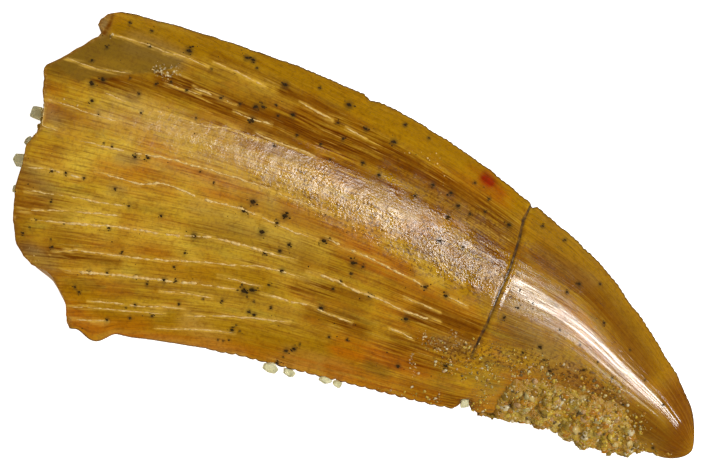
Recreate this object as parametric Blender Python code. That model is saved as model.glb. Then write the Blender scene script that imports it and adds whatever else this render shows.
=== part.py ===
"""A shed crown of a meat-eating dinosaur's tooth, lying on its flatter flank.

The crown is a curved blade with a lens-shaped section and two serrated edges.
Its base is broken off, and the pulp cavity there is packed with sandy matrix.
A crust of sand is cemented on the hollow edge near the tip, and a few quartz
grains cling to the same edge. A mended break crosses the crown as a fine groove.

Frame: +X runs to the tip, +Y to the convex front edge, +Z up. The origin is
under the middle of the bounding box, at the surface that the tooth lies on.
"""

import bisect
import math
import random

import bpy
from mathutils import Vector

MM = 0.001

# Driving sizes, in millimetres. Each row is one section of the crown, from behind the
# broken base to the tip: front edge x and y, rear edge x and y, then how far the upper
# flank rises above the edges and how far the lower flank hangs below them.
SECTIONS = [
    (-14.2, 4.98, -14.2, -7.20, 2.80, 2.45),
    (-10.8, 5.64, -10.8, -6.52, 2.80, 2.45),
    (-7.4, 6.00, -7.4, -5.64, 2.72, 2.40),
    (-3.8, 6.16, -3.8, -4.76, 2.60, 2.32),
    (0.4, 5.89, 0.4, -4.09, 2.42, 2.18),
    (4.95, 4.82, 5.40, -3.26, 2.12, 1.95),
    (7.9, 3.84, 7.9, -2.42, 1.82, 1.70),
    (10.3, 2.47, 10.0, -2.28, 1.46, 1.38),
    (12.1, 1.22, 11.8, -2.04, 1.10, 1.05),
    (13.1, 0.34, 12.75, -1.96, 0.84, 0.82),
    (13.98, -0.47, 13.82, -2.08, 0.62, 0.60),
]
BREAK_SECTION = 5  # the mended break follows this section
ROUNDING_SECTION = 9  # from here on the tip rounds off, down to a point at the last section
TIP_ROUNDNESS = 0.62
FLAT_CUT = 0.15  # how much of the belly is worn off where the tooth rests
TIP_LIFT = 0.25  # how far the tip's belly clears the surface
LIFT_RUN = 2.0  # the belly starts to rise this far before the mended break

# The broken base, seen from above: place across the crown (-1 rear edge, 1 front edge)
# and the x at which the enamel ends there.
BROKEN_BASE = [
    (-1.0, -9.0), (-0.88, -9.52), (-0.76, -10.15), (-0.665, -10.76), (-0.58, -11.9),
    (-0.51, -12.35), (-0.36, -12.8), (-0.22, -13.05), (0.0, -13.25), (0.28, -13.4),
    (0.44, -13.6), (0.52, -13.83), (0.60, -13.5), (0.72, -12.89), (0.80, -12.38),
    (0.86, -12.55), (0.95, -12.55), (1.0, -12.15),
]
LOWER_RIM_BACKSET = 0.45  # the break leans, so the lower flank ends this much nearer the tip
BASE_END = -8.4  # x of the first section that the break doesn't reach

# The serrated edges.
DENTICLE_PITCH = 0.38
DENTICLE_HEIGHT = 0.08
DENTICLE_ROUNDNESS = 0.7  # 1 is a sine, less is a squarer denticle
DENTICLE_MEAN = 0.7  # the share of the height that the plain outline runs through
SERRATION_FADE = 0.6  # the last denticles shrink over this length
FRONT_SERRATION = (-9.5, -2.0, 13.3)  # starts, full height, ends
REAR_SERRATION = (-5.5, -2.5, 13.0)
CHIP_AT_REAR = (5.5, 0.40, 0.40)  # x, half-width and depth, where the break meets the edge
CHIP_AT_FRONT = (4.9, 0.18, 0.10)
BASE_LOBE = (-8.2, 0.75, 0.36)  # x, half-length and height of the lobe at the rear corner

# How the flanks bulge.
RIDGE_SHIFT = 0.10  # the thickest line lies towards the front edge
FRONT_ROUNDNESS = 0.78
REAR_ROUNDNESS = 1.10
BREAK_GROOVE = 0.07  # depth of the mended break
BREAK_HALF_WIDTH = 0.10
GROOVE_FADE = 0.3  # it runs out where the flank rises less than this above the edge

# Pulp cavity and its sand.
CAVITY_END = -8.6
CAVITY_START = -15.0
CAVITY_WIDTH = 0.60  # as a share of the crown's
CAVITY_HEIGHT = 0.52
CAVITY_SHIFT = 0.2  # it lies a little towards the front edge
CAVITY_STEP = 0.7
CAVITY_SIDES = 20
MATRIX_GAP = 0.05
MATRIX_RECESS = 0.32
MATRIX_ROUGHNESS = 0.08
MATRIX_BODY_START = -10.4
MATRIX_FACE_SHARES = (0.3, 0.55, 0.8, 1.0)

# Sand crust on the rear edge near the tip.
CRUST_FROM, CRUST_TO = 6.0, 12.3
CRUST_BAND = 1.85  # how far it climbs the upper flank
CRUST_UNDER_REACH = 0.16  # how far it goes below the edge, as a share of the half-width
CRUST_GAP = 0.06
CRUST_THICKNESS = 0.12
CRUST_LUMPINESS = 0.55
CRUST_RIM = 0.03  # what is left of its thickness and its reach where it thins out
CRUST_LUMPS = 46
CRUST_LUMP_RADIUS = (0.26, 0.44)
CRUST_REACH = 2.45  # how wide the belt of lumps is, from the top over the edge
CRUST_WIDENS, CRUST_NARROWS = 0.14, 0.72  # shares of its length where it is at full width
CRUST_END = 0.1  # the share of its length over which each end thins out
CRUST_SLOPES = (0.35, 0.5)  # how fast it thickens, face by face, from its top and from below
CRUST_ALONG, CRUST_OVER, CRUST_UNDER = 36, 9, 3  # faces along it, on the flank, below the edge

# Quartz grains. Those on the rear edge: x, radius, stretch along the edge.
EDGE_GRAINS = [
    (-1.75, 0.20, 1.7), (-1.05, 0.18, 1.4), (0.33, 0.14, 1.8), (0.80, 0.15, 1.3), (5.5, 0.20, 0.9),
]
# Those in the base's sand: y, height above the surface, radius.
BASE_GRAINS = [(0.72, 3.1, 0.30), (-0.30, 2.9, 0.17), (-1.05, 3.0, 0.29), (-2.1, 2.7, 0.16)]
GRAIN_GAP = 0.03
GRAIN_RISE = 0.9  # how steeply those on the edge sit above it
GRAIN_UNEVENNESS = (0.86, 1.02)

# The belly's wear is cut with a block: length, width, depth.
WEAR_BLOCK = (40.0, 20.0, 2.0)

# Faceting.
BASE_STEPS = 24
STATION_STEP = 0.127  # a third of a denticle
CAP_STEPS = 12
PLACES_ACROSS = (1.0, 0.95, 0.80, 0.52, 0.28, 0.0, -0.36, -0.58, -0.76, -0.88, -1.0)
SHARP_ANGLE = math.radians(40)
EDGE_SAMPLES = 600
NUDGE = 0.02  # the step over which a direction is measured
HALVINGS = 26  # bisection steps, finer than a nanometre
SEED = 7

ENAMEL = ("amber_enamel", (0.46, 0.24, 0.035), 0.35)
SANDSTONE = ("sandy_matrix", (0.42, 0.33, 0.17), 0.85)
QUARTZ = ("pale_quartz", (0.62, 0.60, 0.46), 0.30)


def clear_scene():
    for thing in list(bpy.data.objects):
        bpy.data.objects.remove(thing, do_unlink=True)


def new_collection(name):
    made = bpy.data.collections.new(name)
    bpy.context.scene.collection.children.link(made)
    return made


def material(name, colour, roughness):
    made = bpy.data.materials.get(name) or bpy.data.materials.new(name)
    made.use_nodes = True
    shader = made.node_tree.nodes["Principled BSDF"]
    shader.inputs["Base Color"].default_value = (*colour, 1.0)
    shader.inputs["Roughness"].default_value = roughness
    shader.inputs["Metallic"].default_value = 0.0
    return made


def mesh_object(name, points, faces, collection, finish):
    """An object from points in millimetres."""
    mesh = bpy.data.meshes.new(name)
    mesh.from_pydata([Vector(p) * MM for p in points], [], faces)
    mesh.validate()
    made = bpy.data.objects.new(name, mesh)
    collection.objects.link(made)
    mesh.materials.append(material(*finish))
    mesh.shade_smooth()
    mesh.set_sharp_from_angle(angle=SHARP_ANGLE)
    return made


def knots_along():
    """The distance of each section along the middle of the crown."""
    middles = [Vector(((s[0] + s[2]) / 2, (s[1] + s[3]) / 2)) for s in SECTIONS]
    run = [0.0]
    for here, there in zip(middles, middles[1:]):
        run.append(run[-1] + (there - here).length)
    return run


KNOTS = knots_along()
TIP = KNOTS[-1]
BREAK = KNOTS[BREAK_SECTION]
ROUNDING = KNOTS[ROUNDING_SECTION]


def smooth_value(column, u):
    """A smooth curve through one column of SECTIONS, at the distance u along the crown."""
    i = min(max(bisect.bisect_right(KNOTS, u) - 1, 0), len(KNOTS) - 2)

    def slope(k):
        low, high = max(k - 1, 0), min(k + 1, len(KNOTS) - 1)
        return (SECTIONS[high][column] - SECTIONS[low][column]) / (KNOTS[high] - KNOTS[low])

    span = KNOTS[i + 1] - KNOTS[i]
    t = (u - KNOTS[i]) / span
    a, b = SECTIONS[i][column], SECTIONS[i + 1][column]
    return (
        a * (1 + 2 * t) * (1 - t) ** 2
        + b * t * t * (3 - 2 * t)
        + slope(i) * span * t * (1 - t) ** 2
        - slope(i + 1) * span * t * t * (1 - t)
    )


def ramp(x, low, high):
    t = min(max((x - low) / (high - low), 0.0), 1.0)
    return t * t * (3 - 2 * t)


def bump(x, centre, half_width):
    """1 at the centre, falling smoothly to 0 at the half-width."""
    t = abs(x - centre) / half_width
    return (1 - t * t) ** 2 if t < 1 else 0.0


def rounding(u):
    """How much of the width and the height is left where the tip rounds off."""
    share = min(max((u - ROUNDING) / (TIP - ROUNDING), 0.0), 1.0)
    return (1 - share * share) ** TIP_ROUNDNESS


def edge_point(u, front):
    ends = [Vector((smooth_value(c, u), smooth_value(c + 1, u))) for c in (0, 2)]
    middle = (ends[0] + ends[1]) / 2
    return middle + (ends[0 if front else 1] - middle) * rounding(u)


def edge_run(front):
    """Distances along an edge, as (u values, lengths)."""
    us = [TIP * i / EDGE_SAMPLES for i in range(EDGE_SAMPLES + 1)]
    run = [0.0]
    for a, b in zip(us, us[1:]):
        run.append(run[-1] + (edge_point(b, front) - edge_point(a, front)).length)
    return us, run


EDGE_RUNS = {front: edge_run(front) for front in (True, False)}


def length_to(u, front):
    us, run = EDGE_RUNS[front]
    i = min(max(bisect.bisect_right(us, u) - 1, 0), len(us) - 2)
    return run[i] + (run[i + 1] - run[i]) * (u - us[i]) / (us[i + 1] - us[i])


def serration(u, front):
    """How far the edge stands out at u: rounded denticles, with chips and the base lobe."""
    x = edge_point(u, front).x
    start, full, end = FRONT_SERRATION if front else REAR_SERRATION
    strength = ramp(x, start, full) * (1 - ramp(x, end - SERRATION_FADE, end))
    lobe = abs(math.sin(math.pi * length_to(u, front) / DENTICLE_PITCH)) ** DENTICLE_ROUNDNESS
    chip_x, chip_half, chip_depth = CHIP_AT_FRONT if front else CHIP_AT_REAR
    out = DENTICLE_HEIGHT * strength * (lobe - DENTICLE_MEAN)
    out -= chip_depth * bump(x, chip_x, chip_half)
    if not front:
        lobe_x, lobe_half, lobe_height = BASE_LOBE
        out += lobe_height * bump(x, lobe_x, lobe_half)
    return out


def outward(u, front):
    """The direction away from the crown at an edge, in the plane of the blade."""
    along = edge_point(min(u + NUDGE, TIP), front) - edge_point(max(u - NUDGE, 0.0), front)
    side = Vector((-along.y, along.x)).normalized()
    return side if front else -side


def edge_height(u):
    """The height of both edges above the surface that the tooth lies on."""
    return smooth_value(5, u) - FLAT_CUT + (FLAT_CUT + TIP_LIFT) * ramp(u, BREAK - LIFT_RUN, TIP)


def flank(v):
    """The bulge of a flank across the crown: 0 at both edges, 1 on the ridge."""
    w = (v - RIDGE_SHIFT) / (1 - RIDGE_SHIFT * v)
    roundness = REAR_ROUNDNESS + (FRONT_ROUNDNESS - REAR_ROUNDNESS) * (w + 1) / 2
    return max(1 - w * w, 0.0) ** roundness


def groove(u):
    return BREAK_GROOVE * bump(u, BREAK, BREAK_HALF_WIDTH)


def crown_point(u, v, upper, out=0.0):
    """A point of the crown's skin. out moves an edge point away from the crown."""
    front, rear = edge_point(u, True), edge_point(u, False)
    place = rear + (front - rear) * (v + 1) / 2
    if out:
        place = place + outward(u, v > 0) * out
    rise = smooth_value(4 if upper else 5, u) * rounding(u) * flank(v)
    rise = max(rise - groove(u) * ramp(rise, 0.0, GROOVE_FADE), 0.0)
    return Vector((place.x, place.y, edge_height(u) + (rise if upper else -rise)))


def crown_normal(u, v, upper):
    along = crown_point(min(u + NUDGE, TIP), v, upper) - crown_point(u - NUDGE, v, upper)
    across = crown_point(u, min(v + NUDGE, 1.0), upper) - crown_point(u, max(v - NUDGE, -1.0), upper)
    normal = along.cross(across).normalized()
    return normal if upper else -normal


def broken_x(v):
    places = [p[0] for p in BROKEN_BASE]
    i = min(max(bisect.bisect_right(places, v) - 1, 0), len(places) - 2)
    (v0, x0), (v1, x1) = BROKEN_BASE[i], BROKEN_BASE[i + 1]
    return x0 + (x1 - x0) * (v - v0) / (v1 - v0)


def u_at_x(x, v):
    """The distance along the crown at which the growth line v passes x."""
    low, high = 0.0, TIP
    for _ in range(HALVINGS):
        middle = (low + high) / 2
        if crown_point(middle, v, True).x < x:
            low = middle
        else:
            high = middle
    return (low + high) / 2


def ladder(first, count, flip):
    """Faces that close a ring of points by joining each one to the one across from it."""
    faces = []
    for i in range(count // 2):
        face = [first + i, first + i + 1, first + (count - i - 1) % count, first + (count - i) % count]
        face = list(dict.fromkeys(face))
        faces.append(face[::-1] if flip else face)
    return faces


def loft(rings):
    """Points and faces of a closed loft through rings of equal size."""
    count = len(rings[0])
    points = [p for ring in rings for p in ring]
    faces = []
    for r in range(len(rings) - 1):
        a, b = r * count, (r + 1) * count
        for i in range(count):
            j = (i + 1) % count
            faces.append((a + i, a + j, b + j, b + i))
    faces += ladder(0, count, True)
    faces += ladder((len(rings) - 1) * count, count, False)
    return points, faces


def ring_places():
    """(place across, upper flank?) once round a section: over the top, then back below."""
    return [(v, True) for v in PLACES_ACROSS] + [(v, False) for v in PLACES_ACROSS[-2:0:-1]]


def base_start(v, upper):
    """Where the growth line v begins, at the broken rim of the upper or the lower flank."""
    backset = 0.0 if upper or abs(v) == 1 else LOWER_RIM_BACKSET * (1 - v * v)
    return u_at_x(broken_x(v) + backset, v)


def evenly(start, end, step):
    """Values from start up to, but not including, end."""
    count = max(round((end - start) / step), 1)
    return [start + (end - start) * i / count for i in range(count)]


def crown_stations():
    """Distances along the crown of the whole sections, with three at the mended break."""
    first = u_at_x(BASE_END, 0.0)
    found = evenly(first, BREAK - BREAK_HALF_WIDTH, STATION_STEP)
    found += evenly(BREAK - BREAK_HALF_WIDTH, BREAK + BREAK_HALF_WIDTH, BREAK_HALF_WIDTH)
    found += evenly(BREAK + BREAK_HALF_WIDTH, ROUNDING, STATION_STEP)
    for i in range(CAP_STEPS):
        found.append(ROUNDING + (TIP - ROUNDING) * math.sin(math.pi / 2 * i / CAP_STEPS))
    return found


def build_crown(collection):
    stations = crown_stations()
    places = ring_places()
    starts = [base_start(v, upper) for v, upper in places]
    rings = []
    for k in range(BASE_STEPS):
        share = k / BASE_STEPS
        rings.append([s + (stations[0] - s) * share for s in starts])
    rings += [[u] * len(places) for u in stations]
    skin = [
        [
            crown_point(u, v, upper, serration(u, v > 0) if abs(v) == 1 else 0.0)
            for u, (v, upper) in zip(ring, places)
        ]
        for ring in rings
    ]
    points, faces = loft(skin)
    return mesh_object("tooth", points, faces, collection, ENAMEL)


def cavity_point(x, turn, shrink=0.0, share=1.0):
    """A point on the wall of the pulp cavity, or at a share of the way out to it."""
    depth = min(max((x - CAVITY_START) / (CAVITY_END - CAVITY_START), 0.0), 1.0)
    taper = math.sqrt(1 - depth**3)
    u = u_at_x(max(x, SECTIONS[0][0]), 0.0)
    front, rear = edge_point(u, True).y, edge_point(u, False).y
    half_width = ((front - rear) / 2 * CAVITY_WIDTH * taper - shrink) * share
    half_height = (smooth_value(4, u) * CAVITY_HEIGHT * taper - shrink) * share
    centre_y = (front + rear) / 2 + CAVITY_SHIFT
    return Vector(
        (x, centre_y + half_width * math.cos(turn), edge_height(u) + half_height * math.sin(turn))
    )


def cavity_turns():
    return [math.tau * i / CAVITY_SIDES for i in range(CAVITY_SIDES)]


def as_cutter(thing):
    thing.hide_render = True
    thing.display_type = "WIRE"
    return thing


def cut_away(crown, name, cutter):
    cut = crown.modifiers.new(name, "BOOLEAN")
    cut.operation = "DIFFERENCE"
    cut.object = cutter


def cut_cavity(crown, cutters):
    depths = evenly(CAVITY_START, CAVITY_END, CAVITY_STEP)
    rings = [[cavity_point(x, turn) for turn in cavity_turns()] for x in depths]
    points, faces = loft(rings)
    cutter = mesh_object("cavity_cutter", points, faces, cutters, SANDSTONE)
    cut_away(crown, "pulp cavity", as_cutter(cutter))


def cut_flat_spot(crown, cutters):
    """Wears the belly flat at z = 0, where the tooth rests."""
    length, width, depth = WEAR_BLOCK
    bpy.ops.mesh.primitive_cube_add(size=1.0, location=(0.0, 0.0, -depth / 2 * MM))
    block = bpy.context.object
    block.name = "wear_cutter"
    block.dimensions = (length * MM, width * MM, depth * MM)
    bpy.ops.object.transform_apply(location=False, rotation=False, scale=True)
    move_to(block, cutters)
    cut_away(crown, "worn flat", as_cutter(block))


def move_to(thing, collection):
    for holder in list(thing.users_collection):
        holder.objects.unlink(thing)
    collection.objects.link(thing)


def place_across(x, y):
    """How far y is across the crown at x: -1 at the rear edge, 1 at the front edge."""
    u = u_at_x(max(x, SECTIONS[0][0]), 0.0)
    front, rear = edge_point(u, True).y, edge_point(u, False).y
    return min(max((2 * y - front - rear) / (front - rear), -1.0), 1.0)


def matrix_face(turn, share, roughness=0.0):
    """A point of the sand's outer face, set back from the broken rim."""
    x = BROKEN_BASE[len(BROKEN_BASE) // 2][1]
    for _ in range(3):
        spot = cavity_point(x, turn, MATRIX_GAP, share)
        x = broken_x(place_across(x, spot.y)) + MATRIX_RECESS + roughness
    return Vector((x, spot.y, spot.z))


def build_base_matrix(collection):
    dice = random.Random(SEED)
    rings = []
    for share in MATRIX_FACE_SHARES:
        rough = MATRIX_ROUGHNESS if share < 1 else 0.0
        rings.append([matrix_face(t, share, dice.uniform(-rough, rough)) for t in cavity_turns()])
    for x in evenly(MATRIX_BODY_START, CAVITY_END - MATRIX_GAP, CAVITY_STEP):
        rings.append([cavity_point(x, turn, MATRIX_GAP) for turn in cavity_turns()])
    points, faces = loft(rings)
    mesh_object("base_matrix", points, faces, collection, SANDSTONE)


def crust_places(u, reach):
    """(place across, flank) from the top of the crust, over the edge, to just below it."""
    width = (edge_point(u, True) - edge_point(u, False)).length
    climb = 2 * CRUST_BAND * reach / width
    over = [(-1 + climb * (1 - i / CRUST_OVER), "upper") for i in range(CRUST_OVER)]
    under = [(-1 + CRUST_UNDER_REACH * (i + 1) / CRUST_UNDER, "lower") for i in range(CRUST_UNDER)]
    return over + [(-1.0, "edge")] + under


def crust_ground(u, v, flank_name):
    """The crown's skin under the crust, and the way it faces there."""
    if flank_name == "edge":
        out = outward(u, False)
        return crown_point(u, -1.0, True, DENTICLE_HEIGHT), Vector((out.x, out.y, 0.0))
    upper = flank_name == "upper"
    return crown_point(u, v, upper), crown_normal(u, max(v, -0.98), upper)


def crust_lumps():
    """Where the lumps of cemented sand are: distance along, distance over, radius."""
    dice = random.Random(SEED)
    length = u_at_x(CRUST_TO, -1.0) - u_at_x(CRUST_FROM, -1.0)
    return [
        (dice.uniform(0, length), dice.uniform(0, CRUST_REACH), dice.uniform(*CRUST_LUMP_RADIUS))
        for _ in range(CRUST_LUMPS)
    ]


def ends(share):
    """How the crust thins out at its two ends."""
    return ramp(share, 0.0, CRUST_END) * (1 - ramp(share, 1 - CRUST_END, 1.0))


def lump_height(along, over, lumps):
    tops = [
        math.sqrt(radius**2 - (along - a) ** 2 - (over - o) ** 2)
        for a, o, radius in lumps
        if (along - a) ** 2 + (over - o) ** 2 < radius**2
    ]
    return max(tops, default=0.0)


def build_sand_crust(collection):
    lumps = crust_lumps()
    first, last = u_at_x(CRUST_FROM, -1.0), u_at_x(CRUST_TO, -1.0)
    rings = []
    for k in range(CRUST_ALONG + 1):
        share = k / CRUST_ALONG
        u = first + (last - first) * share
        reach = CRUST_RIM + ramp(share, 0.0, CRUST_WIDENS) * (1 - ramp(share, CRUST_NARROWS, 1.0))
        places = crust_places(u, reach)
        grounds = [crust_ground(u, v, name) for v, name in places]
        inner = [skin + normal * CRUST_GAP for skin, normal in grounds]
        outer, over = [inner[0]], 0.0
        for i in range(1, len(places) - 1):
            over += (grounds[i][0] - grounds[i - 1][0]).length
            sides = min(1.0, CRUST_SLOPES[0] * i, CRUST_SLOPES[1] * (len(places) - 1 - i))
            thickness = CRUST_THICKNESS + CRUST_LUMPINESS * lump_height(u - first, over, lumps)
            outer.append(inner[i] + grounds[i][1] * (CRUST_RIM + thickness * ends(share) * sides))
        rings.append(outer + list(reversed(inner[1:])))
    points, faces = loft(rings)
    mesh_object("sand_crust", points, faces, collection, SANDSTONE)


def build_grain(name, centre, sizes, turn, collection):
    """A quartz grain: a faceted ball, worn uneven."""
    dice = random.Random(name)
    bpy.ops.mesh.primitive_ico_sphere_add(subdivisions=2, radius=MM)
    grain = bpy.context.object
    grain.name = name
    move_to(grain, collection)
    for vertex in grain.data.vertices:
        uneven = dice.uniform(*GRAIN_UNEVENNESS)
        vertex.co = Vector([c * size * uneven for c, size in zip(vertex.co, sizes)])
    grain.location = centre * MM
    grain.rotation_euler.z = turn
    grain.data.materials.append(material(*QUARTZ))


def build_edge_grains(collection):
    for number, (x, radius, stretch) in enumerate(EDGE_GRAINS, 1):
        u = u_at_x(x, -1.0)
        out = outward(u, False)
        away = (Vector((out.x, out.y, 0.0)) + Vector((0.0, 0.0, GRAIN_RISE))).normalized()
        skin = crown_point(u, -1.0, True, serration(u, False))
        centre = skin + away * (radius + GRAIN_GAP)
        sizes = (radius * stretch, radius, radius)
        build_grain(f"edge_grain_{number}", centre, sizes, math.atan2(out.x, -out.y), collection)


def build_base_grains(collection):
    for number, (y, z, radius) in enumerate(BASE_GRAINS, 1):
        x = broken_x(place_across(BROKEN_BASE[len(BROKEN_BASE) // 2][1], y)) + MATRIX_RECESS
        x -= MATRIX_ROUGHNESS + GRAIN_GAP + radius
        build_grain(f"base_grain_{number}", Vector((x, y, z)), (radius,) * 3, 0.0, collection)


def main():
    clear_scene()
    tooth_parts = new_collection("fossil_raptor_tooth")
    cutters = new_collection("cutters")
    crown = build_crown(tooth_parts)
    cut_cavity(crown, cutters)
    cut_flat_spot(crown, cutters)
    build_base_matrix(tooth_parts)
    build_sand_crust(tooth_parts)
    build_edge_grains(tooth_parts)
    build_base_grains(tooth_parts)


main()
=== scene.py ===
# %% [markdown]
# A fossil raptor tooth, lying on a pale table.
#
# The real thing is the shed crown of a meat-eating dinosaur's tooth: a flat, curved blade of
# honey-brown enamel with a saw edge on both sides. Its base is broken off, a mended break
# crosses it, sand is cemented on its hollow edge, and fine seams of cream mineral and black
# dots run over it.
#
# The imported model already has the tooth's form and size. This notebook puts a finer skin on
# it, piece by piece, in the same place. Lengths are in millimetres until the moment a mesh is
# made. +X runs to the tip, +Y to the bulging front edge and +Z up.

# %% Load the frame
import math
import random

import bmesh
import bpy
import numpy as np
from mathutils import Matrix, Vector, noise
from mathutils.bvhtree import BVHTree


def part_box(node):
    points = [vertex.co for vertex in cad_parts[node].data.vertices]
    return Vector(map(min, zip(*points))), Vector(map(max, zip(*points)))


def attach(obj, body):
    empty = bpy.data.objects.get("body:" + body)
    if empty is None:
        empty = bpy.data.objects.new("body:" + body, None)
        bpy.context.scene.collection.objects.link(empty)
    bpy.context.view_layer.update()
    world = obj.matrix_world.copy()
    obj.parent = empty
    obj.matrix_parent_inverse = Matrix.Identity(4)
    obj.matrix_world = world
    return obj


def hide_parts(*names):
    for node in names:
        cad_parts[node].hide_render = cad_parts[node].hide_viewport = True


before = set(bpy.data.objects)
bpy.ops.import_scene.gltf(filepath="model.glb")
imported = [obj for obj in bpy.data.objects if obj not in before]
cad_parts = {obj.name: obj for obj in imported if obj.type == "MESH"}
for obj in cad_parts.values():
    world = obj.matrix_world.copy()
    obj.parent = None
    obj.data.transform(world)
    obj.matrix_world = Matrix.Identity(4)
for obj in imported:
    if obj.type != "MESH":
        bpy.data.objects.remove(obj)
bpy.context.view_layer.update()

MM = 0.001


# %% [markdown]
# The photograph looks straight down on the tooth, with the blade running down to the right.
# Here the camera hangs over the table and is turned about the vertical instead, so that the
# model can keep its own frame. A long lens from far away keeps the outline true.
#
# Everything that is placed from the photograph, such as a stain or a seam, goes through
# the two helpers below. One says where a point of the model lands in the photograph, and the
# other sends a line of sight back down to the model.

# %% The photograph's frame
PHOTO_SIZE = (708, 472)
PHOTO_WIDTH = 26.22  # millimetres across the photograph, at the height of the tooth's edges
PHOTO_CENTRE = (-0.78, 1.155)
PHOTO_TURN = math.radians(23)
EDGE_LEVEL = 2.3
CAMERA_HEIGHT = 420.0
SENSOR_WIDTH = 36.0

RIGHT = np.array([math.cos(PHOTO_TURN), math.sin(PHOTO_TURN)])
UP = np.array([-math.sin(PHOTO_TURN), math.cos(PHOTO_TURN)])
PIXELS_PER_MM = PHOTO_SIZE[0] / PHOTO_WIDTH


def in_photo(points):
    """Where points of the model, in millimetres, land in the photograph, in pixels."""
    away = (CAMERA_HEIGHT - EDGE_LEVEL) / (CAMERA_HEIGHT - points[..., 2])
    flat = points[..., :2] - np.array(PHOTO_CENTRE)
    across = (flat @ RIGHT) * away * PIXELS_PER_MM + PHOTO_SIZE[0] / 2
    down = PHOTO_SIZE[1] / 2 - (flat @ UP) * away * PIXELS_PER_MM
    return np.stack([across, down], -1)


def from_photo(px, py):
    """The point at the level of the tooth's edges that a pixel of the photograph shows."""
    right = (px - PHOTO_SIZE[0] / 2) / PIXELS_PER_MM
    up = (PHOTO_SIZE[1] / 2 - py) / PIXELS_PER_MM
    x, y = np.array(PHOTO_CENTRE) + RIGHT * right + UP * up
    return Vector((x, y, EDGE_LEVEL))


print("pixels per millimetre:", round(PIXELS_PER_MM, 2))

# %% Camera
CLIP_NEAR, CLIP_FAR = 0.01, 10.0  # in metres


def placed(name, data):
    """A new object in the scene, made of a mesh, a light or a camera."""
    made = bpy.data.objects.new(name, data)
    bpy.context.scene.collection.objects.link(made)
    return made


camera_data = bpy.data.cameras.new("camera_above")
camera = placed("camera_above", camera_data)
camera_data.sensor_width = SENSOR_WIDTH
camera_data.lens = SENSOR_WIDTH * (CAMERA_HEIGHT - EDGE_LEVEL) / PHOTO_WIDTH
camera_data.clip_start, camera_data.clip_end = CLIP_NEAR, CLIP_FAR
camera.location = (PHOTO_CENTRE[0] * MM, PHOTO_CENTRE[1] * MM, CAMERA_HEIGHT * MM)
camera.rotation_euler = (0.0, 0.0, PHOTO_TURN)
bpy.context.scene.camera = camera
print("lens, millimetres:", round(camera_data.lens, 1))

# %% [markdown]
# The light is that of a small product studio: a table that glows from below, a bright room all
# round and a long bent soft box, high up on the side of the bulging edge. The soft box leaves the
# streak that runs down the ridge of the blade. It is built from four straight pieces, each with
# its own brightness and width, because the streak fades and narrows on its way.
#
# The room and the table light the tooth but are kept out of its reflections, as a photographer
# does with dark cards, so the amber stays deep. Clear grains still see a bright room through
# themselves.

# %% Studio
TABLE_SIZE = 3.0
TABLE_COLOUR, TABLE_ROUGHNESS, TABLE_GLOW = (0.90, 0.90, 0.90, 1.0), 0.9, 0.85
WHITE = (1.0, 1.0, 1.0, 1.0)
ROOM_STRENGTH, ROOM_MIRRORED, ROOM_THROUGH = 0.44, 0.01, 0.95
# Where the ends and the bends of the soft box stand: degrees from overhead, and from +X to +Y.
BOX_CORNERS = ((31.0, 88.0), (29.8, 74.0), (27.2, 54.0), (24.6, 26.6), (57.0, -3.0))
BOX_RADIANCES = (3.6, 12.6, 14.5, 15.0)  # brightness of each straight piece
BOX_WIDTHS = (60.0, 60.0, 34.0, 56.0)
BOX_DISTANCE = 300.0
BOX_AIM = (2.0, 0.5, 3.0)


def new_material(name):
    """A material with its node tree and its main shader."""
    made = bpy.data.materials.new(name)
    made.use_nodes = True
    return made, made.node_tree, made.node_tree.nodes["Principled BSDF"]


def direction(tilt, heading):
    """A direction from its degrees from overhead and from +X to +Y."""
    tilt, heading = math.radians(tilt), math.radians(heading)
    return Vector((math.sin(tilt) * math.cos(heading), math.sin(tilt) * math.sin(heading), math.cos(tilt)))


pale_table, _, shader = new_material("pale_table")
shader.inputs["Base Color"].default_value = TABLE_COLOUR
shader.inputs["Roughness"].default_value = TABLE_ROUGHNESS
shader.inputs["Emission Color"].default_value = WHITE
shader.inputs["Emission Strength"].default_value = TABLE_GLOW
bpy.ops.mesh.primitive_plane_add(size=TABLE_SIZE)
table_top = bpy.context.object
table_top.name = "table_top"
table_top.visible_glossy = False
table_top.data.materials.append(pale_table)

room = bpy.data.worlds.new("bright_room")
bpy.context.scene.world = room
room.use_nodes = True
sky = room.node_tree.nodes["Background"]
sky.inputs["Color"].default_value = WHITE
rays = room.node_tree.nodes.new("ShaderNodeLightPath")
mirrored = room.node_tree.nodes.new("ShaderNodeMapRange")
room.node_tree.links.new(rays.outputs["Is Glossy Ray"], mirrored.inputs["Value"])
mirrored.inputs["To Min"].default_value = ROOM_STRENGTH
mirrored.inputs["To Max"].default_value = ROOM_MIRRORED
through = room.node_tree.nodes.new("ShaderNodeMapRange")
room.node_tree.links.new(rays.outputs["Is Transmission Ray"], through.inputs["Value"])
room.node_tree.links.new(mirrored.outputs[0], through.inputs["To Min"])
through.inputs["To Max"].default_value = ROOM_THROUGH
room.node_tree.links.new(through.outputs[0], sky.inputs["Strength"])


def soft_box(name, box_from, box_to, radiance, width):
    """One straight piece of the soft box, between two directions."""
    towards = (box_from + box_to).normalized()
    long_way = (box_to - box_from).normalized()
    light = bpy.data.lights.new(name, "AREA")
    light.shape = "RECTANGLE"
    light.size = (box_to - box_from).length * BOX_DISTANCE * MM
    light.size_y = width * MM
    light.energy = radiance * math.pi * light.size * light.size_y
    made = placed(name, light)
    made.location = (Vector(BOX_AIM) + towards * BOX_DISTANCE) * MM
    made.rotation_euler = Matrix((long_way, towards.cross(long_way), towards)).transposed().to_euler()
    print(name + ", millimetres long and watts:", round(light.size / MM), round(light.energy, 2))


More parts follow.
